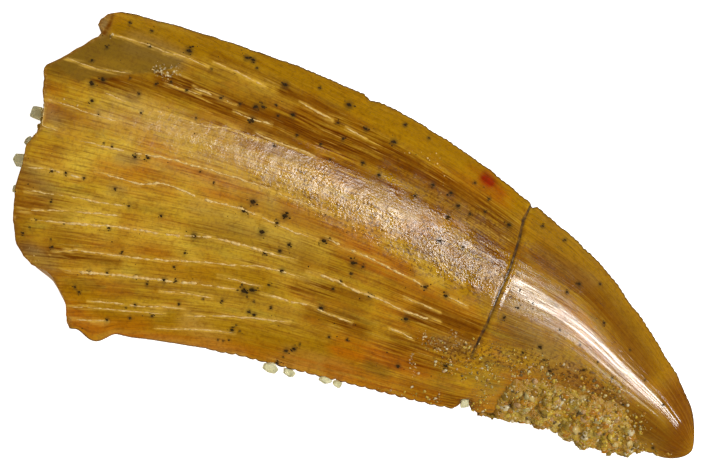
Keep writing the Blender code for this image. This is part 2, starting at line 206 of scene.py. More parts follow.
box_corners = [direction(*corner) for corner in BOX_CORNERS]
for i, (radiance, width) in enumerate(zip(BOX_RADIANCES, BOX_WIDTHS)):
    soft_box(f"soft_box_{i + 1}", box_corners[i], box_corners[i + 1], radiance, width)
bpy.context.scene.view_settings.view_transform = "Standard"

# %% [markdown]
# The crown is a loft: lens-shaped sections strung along the blade, from the broken base to the
# tip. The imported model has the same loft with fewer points. The sections and the rules below
# are the same as there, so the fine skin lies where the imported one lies. They work on whole
# arrays of points, which keeps a mesh of a hundred thousand points quick to make.

# %% Sections of the crown
# Front edge x and y, rear edge x and y, rise of the upper flank, drop of the lower flank.
SECTIONS = np.array([
    (-14.2, 4.98, -14.2, -7.20, 2.80, 2.45),
    (-10.8, 5.64, -10.8, -6.52, 2.80, 2.45),
    (-7.4, 6.00, -7.4, -5.64, 2.72, 2.40),
    (-3.8, 6.16, -3.8, -4.76, 2.60, 2.32),
    (0.4, 5.89, 0.4, -4.09, 2.42, 2.18),
    (4.95, 4.82, 5.40, -3.26, 2.12, 1.95),
    (7.9, 3.84, 7.9, -2.42, 1.82, 1.70),
    (10.3, 2.47, 10.0, -2.28, 1.46, 1.38),
    (12.1, 1.22, 11.8, -2.04, 1.10, 1.05),
    (13.1, 0.34, 12.75, -1.96, 0.84, 0.82),
    (13.98, -0.47, 13.82, -2.08, 0.62, 0.60),
])
BREAK_SECTION, ROUNDING_SECTION = 5, 9
TIP_ROUNDNESS = 0.62
FLAT_CUT, TIP_LIFT, LIFT_RUN = 0.15, 0.25, 2.0
RIDGE_SHIFT, FRONT_ROUNDNESS, REAR_ROUNDNESS = 0.10, 0.78, 1.10

# Place across the crown, -1 at the rear edge and 1 at the front, and x of the broken rim there.
BROKEN_BASE = np.array([
    (-1.0, -9.15), (-0.95, -9.38), (-0.84, -9.63), (-0.78, -9.97), (-0.70, -10.39),
    (-0.665, -10.76), (-0.655, -11.2), (-0.60, -11.75), (-0.53, -12.18), (-0.38, -12.62),
    (-0.2, -12.97), (-0.055, -13.04), (0.06, -13.2), (0.14, -13.07), (0.21, -12.96),
    (0.35, -13.19), (0.41, -13.42), (0.49, -13.53), (0.57, -13.76), (0.65, -13.27),
    (0.74, -12.82), (0.83, -12.31), (0.86, -12.34), (0.89, -12.54), (0.93, -12.55), (0.97, -12.36),
    (1.0, -11.95),
])
LOWER_RIM_BACKSET = 0.45
BASE_END = -8.4
RIM_JAGS, RIM_ROUGHNESS = 22.0, 0.05
HALVINGS = 26  # how often the search for a place along the crown halves its range

middles = (SECTIONS[:, 0:2] + SECTIONS[:, 2:4]) / 2
KNOTS = np.concatenate([[0.0], np.cumsum(np.linalg.norm(np.diff(middles, axis=0), axis=1))])
BREAK, ROUNDING, TIP = KNOTS[BREAK_SECTION], KNOTS[ROUNDING_SECTION], KNOTS[-1]
print("length along the middle, millimetres:", round(float(TIP), 2))


# %% Rules of the loft
def ramp(x, low, high):
    """0 up to low, 1 from high on, and a smooth rise between them."""
    t = np.clip((np.asarray(x, float) - low) / (high - low), 0.0, 1.0)
    return t * t * (3 - 2 * t)


def bump(x, centre, half_width):
    """1 at the centre, falling smoothly to 0 at the half-width."""
    t = np.abs(x - centre) / half_width
    return np.where(t < 1, (1 - np.minimum(t, 1) ** 2) ** 2, 0.0)


def smooth_value(column, u):
    """A smooth curve through one column of SECTIONS, at the distances u along the crown."""
    values, last = SECTIONS[:, column], len(KNOTS) - 1
    low, high = np.maximum(np.arange(last + 1) - 1, 0), np.minimum(np.arange(last + 1) + 1, last)
    slopes = (values[high] - values[low]) / (KNOTS[high] - KNOTS[low])
    i = np.clip(np.searchsorted(KNOTS, u, side="right") - 1, 0, last - 1)
    span = KNOTS[i + 1] - KNOTS[i]
    t = (u - KNOTS[i]) / span
    ends = values[i] * (1 + 2 * t) * (1 - t) ** 2 + values[i + 1] * t * t * (3 - 2 * t)
    turns = slopes[i] * t * (1 - t) ** 2 - slopes[i + 1] * t * t * (1 - t)
    return ends + turns * span


def rounding(u):
    """How much of the width and the height is left where the tip rounds off."""
    share = np.clip((u - ROUNDING) / (TIP - ROUNDING), 0.0, 1.0)
    return (1 - share * share) ** TIP_ROUNDNESS


def edge_points(u, front):
    """x and y of the front or the rear edge at the distances u along the crown."""
    ends = [np.stack([smooth_value(c, u), smooth_value(c + 1, u)], -1) for c in (0, 2)]
    middle = (ends[0] + ends[1]) / 2
    return middle + (ends[0 if front else 1] - middle) * rounding(u)[..., None]


def edge_height(u):
    """How high both edges lie over the table."""
    return smooth_value(5, u) - FLAT_CUT + (FLAT_CUT + TIP_LIFT) * ramp(u, BREAK - LIFT_RUN, TIP)


def flank(v):
    """The bulge of a flank across the crown: 0 at both edges, 1 on the ridge."""
    w = (v - RIDGE_SHIFT) / (1 - RIDGE_SHIFT * v)
    roundness = REAR_ROUNDNESS + (FRONT_ROUNDNESS - REAR_ROUNDNESS) * (w + 1) / 2
    return np.maximum(1 - w * w, 0.0) ** roundness


def crown_points(u, v, upper):
    """Points of the skin, from the distance along the crown and the place across it."""
    front, rear = edge_points(u, True), edge_points(u, False)
    place = rear + (front - rear) * ((v + 1) / 2)[..., None]
    rise = np.where(upper, smooth_value(4, u), smooth_value(5, u)) * rounding(u) * flank(v)
    height = edge_height(u) + np.where(upper, rise, -rise)
    return np.concatenate([place, height[..., None]], -1)


def u_at_x(x, v):
    """The distance along the crown at which each growth line v passes x."""
    low, high = np.zeros_like(v), np.full_like(v, TIP)
    for _ in range(HALVINGS):
        middle = (low + high) / 2
        short = crown_points(middle, v, True)[..., 0] < x
        low, high = np.where(short, middle, low), np.where(short, high, middle)
    return (low + high) / 2


def wobble(places, octaves=3):
    """Smooth noise at each of many places, about -1 to 1."""
    return np.array([noise.fractal(Vector(place), 1.0, 2.0, octaves) for place in places])


def wobble_along(runs, y, z, octaves=3):
    """The same noise along a line, for an array of distances."""
    places = [(at, y, z) for at in np.ravel(runs)]
    return wobble(places, octaves).reshape(np.shape(runs))


def broken_x(v):
    """x of the jagged rim of the broken base."""
    even = np.interp(v, BROKEN_BASE[:, 0], BROKEN_BASE[:, 1])
    return even + RIM_ROUGHNESS * wobble_along(v * RIM_JAGS, 0, 3)


print("thickness at the base:", round(float(SECTIONS[1, 4] + SECTIONS[1, 5] - FLAT_CUT), 2))

# %% [markdown]
# The grid of the fine skin has more rows along the blade than points round it, because the
# saw teeth repeat every 0.38 mm along the edges. The points crowd together towards both edges,
# where the flank turns over. Near the base the rows start from the broken rim, each growth line
# from its own place.

# %% Grid of the fine skin
PLACES_UPPER, PLACES_LOWER = 100, 48
EDGE_CROWDING = 0.5
BASE_ROWS, ROW_STEP, CAP_ROWS = 112, 0.0465, 22


def places_across(count):
    """From the front edge to the rear edge, closer together near both."""
    share = np.linspace(0, 1, count + 1)
    even, crowded = 1 - 2 * share, np.cos(np.pi * share)
    return even * (1 - EDGE_CROWDING) + crowded * EDGE_CROWDING


v_ring = np.concatenate([places_across(PLACES_UPPER), places_across(PLACES_LOWER)[-2:0:-1]])
upper_ring = np.arange(len(v_ring)) <= PLACES_UPPER
backset = np.where(upper_ring, 0.0, LOWER_RIM_BACKSET * (1 - v_ring**2))
starts = u_at_x(broken_x(v_ring) + backset, v_ring)
first_row = float(u_at_x(BASE_END, np.zeros(1))[0])

base_shares = np.arange(BASE_ROWS)[:, None] / BASE_ROWS
base_u = starts + (first_row - starts) * base_shares
row_count = round((ROUNDING - first_row) / ROW_STEP)
rows = np.linspace(first_row, ROUNDING, row_count, endpoint=False)
cap = ROUNDING + (TIP - ROUNDING) * np.sin(np.pi / 2 * np.arange(CAP_ROWS) / CAP_ROWS)
whole_u = np.concatenate([rows, cap])[:, None] * np.ones(len(v_ring))
U = np.concatenate([base_u, whole_u])
V = np.broadcast_to(v_ring, U.shape)
UPPER = np.broadcast_to(upper_ring, U.shape)
SKIN = crown_points(U, V, UPPER)
PIXELS = in_photo(SKIN)
print("rows and points round:", U.shape)


# %% Facts about every point of the skin
FINE_STEPS, TINY = 2000, 1e-12


def run_along(front):
    """The distance along an edge, for every point of the grid."""
    fine = np.linspace(0, TIP, FINE_STEPS)
    steps = np.linalg.norm(np.diff(edge_points(fine, front), axis=0), axis=1)
    return np.interp(U, fine, np.concatenate([[0.0], np.cumsum(steps)]))


def edge_way(front, nudge=0.02):
    """The direction out of the crown at an edge, in the plane of the blade."""
    ahead, behind = np.minimum(U + nudge, TIP), np.maximum(U - nudge, 0)
    along = edge_points(ahead, front) - edge_points(behind, front)
    side = np.stack([-along[..., 1], along[..., 0]], -1)
    side /= np.maximum(np.linalg.norm(side, axis=-1, keepdims=True), TINY)
    return side if front else -side


NEAR_FRONT = V > 0
EDGE_PLACE = np.where(NEAR_FRONT[..., None], edge_points(U, True), edge_points(U, False))
EDGE_GAP = np.linalg.norm(SKIN[..., :2] - EDGE_PLACE, axis=-1)
EDGE_RUN = np.where(NEAR_FRONT, run_along(True), run_along(False))
EDGE_WAY = np.where(NEAR_FRONT[..., None], edge_way(True), edge_way(False))
EDGE_X = EDGE_PLACE[..., 0]

along_slope = np.gradient(SKIN, axis=0)
round_slope = np.roll(SKIN, -1, 1) - np.roll(SKIN, 1, 1)
NORMALS = np.cross(round_slope, along_slope)
NORMALS /= np.maximum(np.linalg.norm(NORMALS, axis=-1, keepdims=True), TINY)
ridge_normal = NORMALS[len(U) // 2, PLACES_UPPER // 2]
print("normals point up on the upper flank:", bool(ridge_normal[2] > 0))

# %% [markdown]
# The skin isn't smooth. Shallow ripples follow the growth lines, a thin flake has come away at
# the top of the base, the mended break is a narrow groove with the tip side set a little lower,
# and the surface is finely pitted where sand has worn it. The larger forms are cut into the
# mesh here, and only what is finer than the mesh is left to the material.
#
# Paths are pixels of the photograph, and they are turned into distances from
# the points of the skin.

# %% Distances from hand-drawn paths
HALF_WIDTH = 6.0  # of the crown, near enough for noise
LOWER_NOISE_SHIFT = 9.0  # gives the lower flank a noise of its own


def from_path(pixels, path):
    """How far each point is from a line through the path's corners, in pixels."""
    corners = np.array(path, float)
    found = np.full(pixels.shape[:-1], np.inf)
    if len(corners) == 1:
        return np.linalg.norm(pixels - corners[0], axis=-1)
    for a, b in zip(corners, corners[1:]):
        share = np.clip((pixels - a) @ (b - a) / max((b - a) @ (b - a), TINY), 0, 1)
        found = np.minimum(found, np.linalg.norm(pixels - a - share[..., None] * (b - a), axis=-1))
    return found


def inside(pixels, outline):
    """True for points inside a closed outline."""
    x, y = pixels[..., 0], pixels[..., 1]
    found = np.zeros(x.shape, bool)
    for (xa, ya), (xb, yb) in zip(outline, outline[1:] + outline[:1]):
        crosses = (ya > y) != (yb > y)
        at = xa + (y - ya) * (xb - xa) / (yb - ya if yb != ya else TINY)
        found ^= crosses & (x < at)
    return found


def grain_noise(scale_along, scale_across, seed, octaves=3):
    """Smooth noise over the skin, stretched along the growth lines. About -1 to 1."""
    side = np.where(UPPER, 0.0, LOWER_NOISE_SHIFT) + seed
    places = np.stack([U * scale_along, V * HALF_WIDTH * scale_across, side], -1)
    return wobble(places.reshape(-1, 3), octaves).reshape(U.shape)


# %% Relief of the skin, in millimetres
MENDED_BREAK = [
    (532, 204), (523.7, 220), (519.6, 239), (514.5, 255.5), (510, 269), (500.7, 290),
    (487, 324), (478, 342), (471, 358),
]
FLAKE_OUTLINE = [
    (44, 66), (62, 52), (100, 33), (113, 33), (128, 38), (150, 44), (166, 51), (184, 60),
    (176, 68), (158, 73), (140, 74), (120, 76), (104, 82), (92, 78), (78, 84), (66, 76), (58, 68),
]
FLAKE_DEPTH, FLAKE_SLOPE = 0.07, 3.5  # slope and reach are in pixels
BREAK_DEPTH, BREAK_REACH, BREAK_CRUMBLING = 0.06, 3.0, 0.35
BREAK_REACH_BELOW = 0.12
BREAK_STEP, STEP_RISE, STEP_FADE = 0.02, 0.1, 3.0
RIPPLE, FINE_RIPPLE, WEAR, WEAR_LOST_ON_TIP = 0.016, 0.6, 0.007, 0.85
SKIN_CALM, BREAK_CALM = 0.5, 0.4  # the relief fades out this close to an edge

upper_flank = np.where(UPPER, 1.0, 0.0)
edge_share = ramp(EDGE_GAP, 0.0, SKIN_CALM)
flake_gap = from_path(PIXELS, FLAKE_OUTLINE + FLAKE_OUTLINE[:1])
flake = np.where(inside(PIXELS, FLAKE_OUTLINE), ramp(flake_gap, 0, FLAKE_SLOPE), 0.0) * upper_flank
crumbled = 1 + BREAK_CRUMBLING * grain_noise(2.0, 2.6, 47.0, 2)
break_gap = from_path(PIXELS, MENDED_BREAK) * crumbled
mended_above = bump(break_gap, 0.0, BREAK_REACH) * upper_flank
mended_below = bump(U, BREAK, BREAK_REACH_BELOW) * (1 - upper_flank)
mended = np.maximum(mended_above, mended_below)
step_top = BREAK + STEP_RISE
tip_side = ramp(U, BREAK, step_top) * (1 - ramp(U, step_top, BREAK + STEP_FADE))
ripples = grain_noise(0.16, 2.2, 3.0) + FINE_RIPPLE * grain_noise(0.3, 5.5, 14.0)
wear = grain_noise(3.4, 3.4, 31.0, 2) * (1 - WEAR_LOST_ON_TIP * ramp(U, BREAK - 0.5, BREAK + 0.8))
RELIEF = (
    RIPPLE * ripples * edge_share
    + WEAR * wear * edge_share
    - FLAKE_DEPTH * flake
    - BREAK_DEPTH * mended * ramp(EDGE_GAP, 0.0, BREAK_CALM)
    - BREAK_STEP * tip_side * edge_share
)
print("deepest, highest relief:", round(float(RELIEF.min()), 3), round(float(RELIEF.max()), 3))

# %% Chips and lobe of the edges
# Each is on the front edge or not, then x of its middle, its half-length, and how far it goes out.
EDGE_CHANGES = (
    (False, 5.5, 0.40, -0.40),  # the chip where the mended break ends
    (True, 4.9, 0.18, -0.12),
    (True, -2.2, 0.28, -0.07),
    (False, -8.2, 0.75, 0.36),  # the lobe beside the base
)
EDGE_UNEVENNESS, REAR_UNEVENNESS, UNEVEN_EVERY = 0.05, 0.5, 0.8
REAR_RUN_SHIFT = 60  # gives the rear edge a noise of its own
EDGE_REACH = 0.55  # how far in from the edge a chip or lobe still moves the skin

edge_out = sum(
    np.where(NEAR_FRONT == at_front, out * bump(EDGE_X, middle_x, half_length), 0.0)
    for at_front, middle_x, half_length, out in EDGE_CHANGES
)
along_edge = np.where(NEAR_FRONT, EDGE_RUN, EDGE_RUN + REAR_RUN_SHIFT) / UNEVEN_EVERY
uneven = wobble_along(along_edge, 0, 0) * np.where(NEAR_FRONT, 1.0, REAR_UNEVENNESS)
uneven *= 1 - ramp(U, TIP - 2.0, TIP - 1.0)
edge_out += EDGE_UNEVENNESS * uneven
edge_out *= 1 - ramp(EDGE_GAP, 0.0, EDGE_REACH)
OUTER = SKIN + NORMALS * RELIEF[..., None]
OUTER[..., :2] += EDGE_WAY * edge_out[..., None]
OUTER[..., 2] = np.maximum(OUTER[..., 2], 0.0)  # the worn flat that the tooth rests on
print("outer skin, lowest and highest:", OUTER[..., 2].min().round(3), OUTER[..., 2].max().round(3))

# %% [markdown]
# At the broken base the skin turns inwards over a rough face of dentine and goes on as the wall
# of the pulp cavity. Skin, broken face and cavity wall are one closed mesh. The face is made by
# stepping from the rim towards the cavity's mouth, with noise on the way.

# %% Broken face and cavity
CAVITY_END, CAVITY_START = -8.6, -15.0
CAVITY_WIDTH, CAVITY_HEIGHT, CAVITY_SHIFT = 0.60, 0.52, 0.2
MOUTH_GUESS, MOUTH_ROUNDS, MOUTH_LEAN = -13.2, 4, 0.6
FACE_ROWS, WALL_ROWS = 9, 8
FACE_GRAIN, FACE_ROUGHNESS, FACE_SETBACK = 3.1, 0.10, 0.08
WALL_REACH = 0.985  # the last ring stops short of the cavity's end, where it would be a point


def edges_at(x):
    """The distance along the crown at x, and y of the front and the rear edge there."""
    u = u_at_x(np.maximum(x, SECTIONS[0, 0]), np.zeros_like(x))
    return u, edge_points(u, True)[..., 1], edge_points(u, False)[..., 1]


def cavity_points(x, turn):
    """The wall of the pulp cavity at x and an angle round it."""
    depth = np.clip((x - CAVITY_START) / (CAVITY_END - CAVITY_START), 0.0, 1.0)
    taper = np.sqrt(1 - depth**3)
    u, front, rear = edges_at(x)
    half_width = (front - rear) / 2 * CAVITY_WIDTH * taper
    half_height = smooth_value(4, u) * CAVITY_HEIGHT * taper
    y = (front + rear) / 2 + CAVITY_SHIFT + half_width * np.cos(turn)
    return np.stack([x, y, edge_height(u) + half_height * np.sin(turn)], -1)


def v_at(x, y):
    """How far y is across the crown at x: -1 at the rear edge, 1 at the front edge."""
    _, front, rear = edges_at(x)
    return np.clip((2 * y - front - rear) / (front - rear), -1, 1)


turns = np.arctan2(np.where(upper_ring, 1, -1) * flank(v_ring), v_ring)
lean = np.where(np.sin(turns) < 0, LOWER_RIM_BACKSET, 0.0) * MOUTH_LEAN
mouth_x = np.full(len(v_ring), MOUTH_GUESS)
for _ in range(MOUTH_ROUNDS):
    mouth = cavity_points(mouth_x, turns)
    mouth_x = broken_x(v_at(mouth_x, mouth[:, 1])) + lean
rim = OUTER[0]
face = []
for k in range(1, FACE_ROWS + 1):
    share = k / FACE_ROWS
    row = rim + (mouth - rim) * share
    rough = wobble(row * FACE_GRAIN, octaves=4)
    row[:, 0] += rough * FACE_ROUGHNESS * math.sin(math.pi * share * 0.5)
    set_back = broken_x(v_at(row[:, 0], row[:, 1])) + FACE_SETBACK * min(4 * share, 1.0)
    row[:, 0] = np.maximum(row[:, 0], set_back)
    face.append(row)
wall = []
for k in range(1, WALL_ROWS + 1):
    x = face[-1][:, 0] + (CAVITY_END - face[-1][:, 0]) * min(k / WALL_ROWS, WALL_REACH)
    wall.append(cavity_points(x, turns))
INNER = np.array(face + wall)
print("points of the broken face and the cavity:", INNER.shape[0] * INNER.shape[1])

# %% [markdown]
# Fossil enamel takes its colour from the water that soaked through it. The ground is honey
# yellow; iron has drawn brown bands along the growth lines, and there are orange, olive and
# grey patches. The stains are painted here the way a scale modeller would: a few soft strokes
# for each colour, laid over the photograph, and stored as a value on each point of the
# mesh. The material breaks up their borders with streaks, so no stroke shows as a stroke.
# A few pale straw and peach strokes on the lower side of the ridge are painted highlight.

# %% Stain strokes
# Each stroke is its half-width in pixels, its strength and the path of the brush.
STROKES = {
    "straw": [
        (15, 0.9, [(78, 160), (100, 158), (124, 152)]),
        (15, 0.9, [(66, 214), (84, 214), (104, 222)]),
        (18, 0.7, [(110, 150), (150, 146), (190, 152)]),
        (16, 0.45, [(110, 190), (170, 200), (230, 214)]),
        (10, 0.4, [(56, 126), (84, 134)]),
        (10, 0.6, [(96, 92), (120, 100), (150, 112)]),
        (12, 0.5, [(196, 238), (240, 250), (290, 262)]),
        (11, 0.8, [(230, 216), (270, 232), (320, 250)]),
        (9, 0.4, [(210, 58), (250, 76), (290, 96)]),
        (12, 0.45, [(84, 262), (124, 268), (170, 272)]),
        (12, 0.4, [(196, 300), (240, 304), (290, 314)]),
        (10, 0.4, [(48, 166), (72, 178)]),
        (12, 0.7, [(136, 232), (176, 238), (190, 252)]),
        # Painted highlight: a pale stroke on the lower side of the ridge.
        (9, 0.5, [(190, 162), (226, 170)]),
        (10, 0.7, [(280, 270), (312, 282)]),
        (9, 0.6, [(150, 184), (180, 192)]),
        # Painted highlight: a pale stroke on the lower side of the ridge.
        (10, 0.7, [(384, 250), (408, 256), (432, 276)]),
        (8, 0.5, [(180, 340), (232, 349)]),
    ],
    "gold": [
        (13, 1.0, [(120, 26), (175, 42), (220, 50), (262, 60), (310, 80), (352, 98)]),
        (16, 1.0, [(352, 98), (400, 124), (440, 146), (478, 168), (515, 200)]),
        (19, 1.0, [(540, 225), (575, 258), (605, 292), (632, 328), (655, 368)]),
        (12, 0.4, [(46, 78), (60, 90)]),
        (14, 0.7, [(70, 290), (120, 320), (180, 330)]),
        (15, 0.8, [(190, 330), (250, 340), (300, 350), (350, 352)]),
        (11, 0.7, [(600, 420), (640, 424), (660, 430)]),
        (14, 0.5, [(150, 262), (210, 276), (262, 282)]),
        (10, 0.6, [(172, 318), (204, 322)]),
    ],
    "peach": [
        (17, 0.6, [(140, 118), (170, 130), (215, 138), (250, 148)]),
        (17, 0.6, [(240, 156), (280, 168), (320, 188)]),
        # Painted highlight: a pale stroke on the lower side of the ridge.
        (12, 0.6, [(200, 166), (250, 188), (300, 210), (350, 232)]),
        (10, 0.5, [(548, 358), (576, 370)]),
        (17, 0.4, [(310, 178), (350, 200), (390, 224)]),
        (8, 0.6, [(100, 116), (146, 128)]),
        (9, 0.7, [(160, 160), (200, 176), (236, 186)]),
        (10, 0.45, [(190, 322), (215, 344)]),
        (10, 0.4, [(290, 360), (340, 372)]),
        (5, 0.7, [(110, 335), (170, 343), (240, 355)]),
        (12, 0.5, [(500, 300), (530, 316), (560, 340)]),
    ],
    "rust": [
        (12, 0.55, [(150, 148), (180, 168), (215, 186), (250, 200)]),
        (12, 0.8, [(290, 212), (330, 228), (362, 250), (402, 272)]),
        (9, 0.6, [(44, 76), (52, 92), (48, 110)]),
        (13, 0.7, [(70, 312), (80, 326), (104, 334), (140, 334)]),
        (10, 0.55, [(140, 336), (200, 342), (260, 354), (310, 366)]),
        (11, 1.0, [(342, 348), (380, 356), (424, 368)]),
        (12, 0.8, [(330, 372), (380, 386), (430, 398)]),
        (11, 0.6, [(104, 168), (140, 172), (170, 186)]),
        (12, 0.5, [(520, 380), (560, 378), (590, 386)]),
        (11, 0.2, [(684, 396), (690, 424), (676, 452)]),
        (11, 0.3, [(130, 226), (150, 250), (170, 272)]),
        (12, 0.5, [(370, 262), (420, 290), (460, 320)]),
        (10, 0.5, [(440, 180), (480, 196), (500, 200)]),
    ],
    "olive": [
        (13, 1.0, [(54, 70), (80, 58), (100, 46), (124, 46)]),
        (12, 1.0, [(124, 46), (146, 52), (168, 62)]),
        (11, 0.7, [(80, 70), (110, 70), (140, 68)]),
        (10, 0.6, [(180, 74), (220, 88), (262, 104)]),
        (13, 0.5, [(200, 232), (250, 240), (300, 262)]),
        (13, 0.25, [(150, 285), (200, 290), (250, 300), (300, 312)]),
        (10, 0.9, [(600, 408), (632, 424), (662, 438)]),
        (6, 0.8, [(370, 366), (384, 373)]),
        (12, 0.7, [(452, 196), (484, 214), (512, 236)]),
        (9, 0.6, [(598, 292), (625, 326), (642, 352)]),
        (11, 0.35, [(245, 200), (290, 216), (330, 232)]),
        (9, 0.6, [(196, 74), (224, 82)]),
        (14, 0.4, [(500, 326), (540, 348), (580, 372)]),
    ],
    "umber": [
        (8, 0.8, [(100, 82), (130, 83), (168, 88)]),
        (12, 1.0, [(160, 84), (200, 96), (240, 110), (285, 124), (330, 139)]),
        (8, 0.9, [(285, 92), (315, 106), (345, 124), (385, 146), (420, 168)]),
        (13, 1.0, [(325, 134), (380, 156), (420, 176), (450, 194)]),
        (12, 0.7, [(395, 160), (440, 178), (480, 205), (508, 232)]),
        (11, 0.75, [(540, 254), (570, 274), (600, 304), (626, 340), (646, 370)]),
        (7, 0.25, [(62, 108), (72, 122)]),
        (5, 0.7, [(50, 253), (85, 258), (118, 263)]),
        (11, 0.5, [(14, 186), (17, 215), (22, 244)]),
        (12, 0.45, [(24, 180), (34, 196), (60, 210), (62, 236), (56, 250)]),
        (9, 0.6, [(298, 284), (330, 292), (360, 301)]),
        (8, 0.7, [(312, 311), (338, 320), (362, 330)]),
        (10, 0.45, [(392, 286), (430, 308), (470, 328)]),
        (14, 0.6, [(402, 346), (430, 340), (460, 340)]),
        (6, 0.15, [(350, 246), (390, 262), (420, 280)]),
        (16, 1.0, [(678, 396), (686, 420), (674, 448)]),
        (13, 0.7, [(600, 398), (636, 416), (662, 438)]),
        (10, 0.5, [(410, 388), (440, 398), (466, 402)]),
        (3.0, 0.9, [(633, 412), (650, 424), (668, 438), (683, 450)]),
        (12, 1.0, [(424, 310), (446, 320), (472, 330)]),
        (1.8, 1.0, [(113, 14), (110, 24), (104, 33)]),
        (10, 0.4, [(306, 250), (336, 262), (356, 268)]),
        (11, 0.8, [(236, 112), (262, 122), (290, 132)]),
        (12, 0.3, [(560, 380), (600, 392), (640, 412)]),
        (5, 0.6, [(214, 56), (250, 71), (290, 88)]),
        (12, 0.3, [(476, 290), (500, 310), (520, 340)]),
        (20, 0.4, [(430, 236), (470, 252), (500, 264)]),
        (12, 0.8, [(482, 240), (500, 258)]),
        (8, 0.6, [(512, 246), (524, 262)]),
        (11, 0.5, [(486, 290), (504, 304)]),
        (10, 0.35, [(524, 306), (556, 330)]),
        (10, 0.8, [(414, 316), (440, 324)]),
        (10, 0.7, [(350, 136), (380, 150)]),
        (11, 0.8, [(246, 134), (276, 141), (306, 150)]),
        (10, 0.65, [(330, 160), (370, 180), (414, 202), (436, 212)]),
        (10, 0.7, [(415, 360), (444, 366)]),
        (9, 0.5, [(196, 118), (226, 125)]),
        (11, 0.9, [(304, 115), (334, 127)]),
        (9, 0.4, [(530, 270), (566, 292)]),
        (11, 0.5, [(396, 178), (440, 198), (480, 218)]),
    ],
    "red": [
        (6.0, 1.0, [(485, 178), (490, 183)]),
        (5, 0.6, [(491, 183), (500, 194)]),
        (4, 0.3, [(470, 168), (480, 173)]),
    ],
    "grey": [
        (9, 0.6, [(134, 42), (158, 50), (178, 60)]),
        (7, 0.5, [(112, 100), (134, 98)]),
        (6, 0.7, [(120, 158), (136, 160)]),
        (8, 0.5, [(48, 112), (56, 122)]),
        (10, 0.5, [(26, 170), (38, 180), (48, 192)]),
        (5, 0.5, [(112, 189), (122, 190)]),
        (8, 0.8, [(26, 250), (38, 258), (50, 262)]),
        (10, 0.25, [(196, 208), (250, 226), (300, 244)]),
        (9, 0.5, [(415, 186), (450, 206), (490, 236)]),
        (8, 0.45, [(430, 250), (470, 268)]),
        (7, 0.5, [(550, 262), (590, 282)]),
        (7, 0.6, [(438, 340), (462, 346)]),
        (8, 0.4, [(520, 332), (550, 350)]),
        (6, 1.0, [(104, 18), (101, 30)]),
    ],
}
UNDERSIDE_SHIFT = np.array([-34.0, 9.0])  # the stains lie elsewhere on the lower flank


def painted(strokes, pixels, full=0.0, faded=2.0):
    """One mask of many strokes. Each is full up to one share of its half-width and gone at another."""
    mask = np.zeros(U.shape)
    for half_width, strength, path in strokes:
        gap = from_path(pixels, path)
        mask = np.maximum(mask, strength * (1 - ramp(gap, half_width * full, half_width * faded)))
    return mask


painted_at = np.where(UPPER[..., None], PIXELS, PIXELS + UNDERSIDE_SHIFT)
stains = {name: painted(strokes, painted_at) for name, strokes in STROKES.items()}
print("points under each stain:", {name: int((mask > 0.3).sum()) for name, mask in stains.items()})

# %% Patches of pale crumbs
PALE_CRUMBS = [
    (8, 1.0, [(158, 68), (166, 74), (176, 72)]),
    (8, 0.8, [(425, 338), (444, 348)]),
    (8, 0.8, [(452, 336), (470, 350)]),
    (5, 0.8, [(412, 356), (416, 374)]),
    (5, 0.4, [(398, 150), (438, 158), (446, 202)]),
    (5, 0.5, [(432, 160), (440, 164)]),
    (4, 0.4, [(26, 250), (40, 258)]),
    (6, 0.25, [(62, 100), (72, 104)]),
    (5, 0.25, [(104, 144), (112, 146)]),
    (3, 1.0, [(112, 35)]),
]


def patches_above(strokes):
    """Strokes on the upper flank only, with a firmer border than a stain has."""
    return painted(strokes, PIXELS, full=0.3, faded=1.7) * upper_flank


crumb_share = patches_above(PALE_CRUMBS)
print("points under pale crumbs:", int((crumb_share > 0.2).sum()))

# %% Worn ground that glitters
# The ridge of the body has lost its polish and glitters. Beside it the enamel is smooth.
GLITTER = [
    (24, 0.65, [(310, 180), (360, 212), (406, 238)]),
    (25, 1.0, [(424, 244), (464, 262), (496, 278)]),
    (18, 0.55, [(392, 172), (440, 204), (492, 236)]),
    (20, 0.3, [(250, 150), (310, 176)]),
    (18, 0.2, [(160, 132), (236, 148)]),
    (14, 0.45, [(262, 176), (330, 214), (400, 250)]),
    (9, 0.4, [(514, 236), (545, 258), (576, 288)]),
    (11, 0.3, [(504, 296), (540, 326), (590, 356)]),
    (12, 0.8, [(440, 350), (500, 356), (560, 368), (620, 392)]),
]
GLITTER_BELOW = 0.3

glitter = patches_above(GLITTER) + GLITTER_BELOW * (1 - upper_flank)
print("points that glitter:", int((glitter > 0.3).sum()))

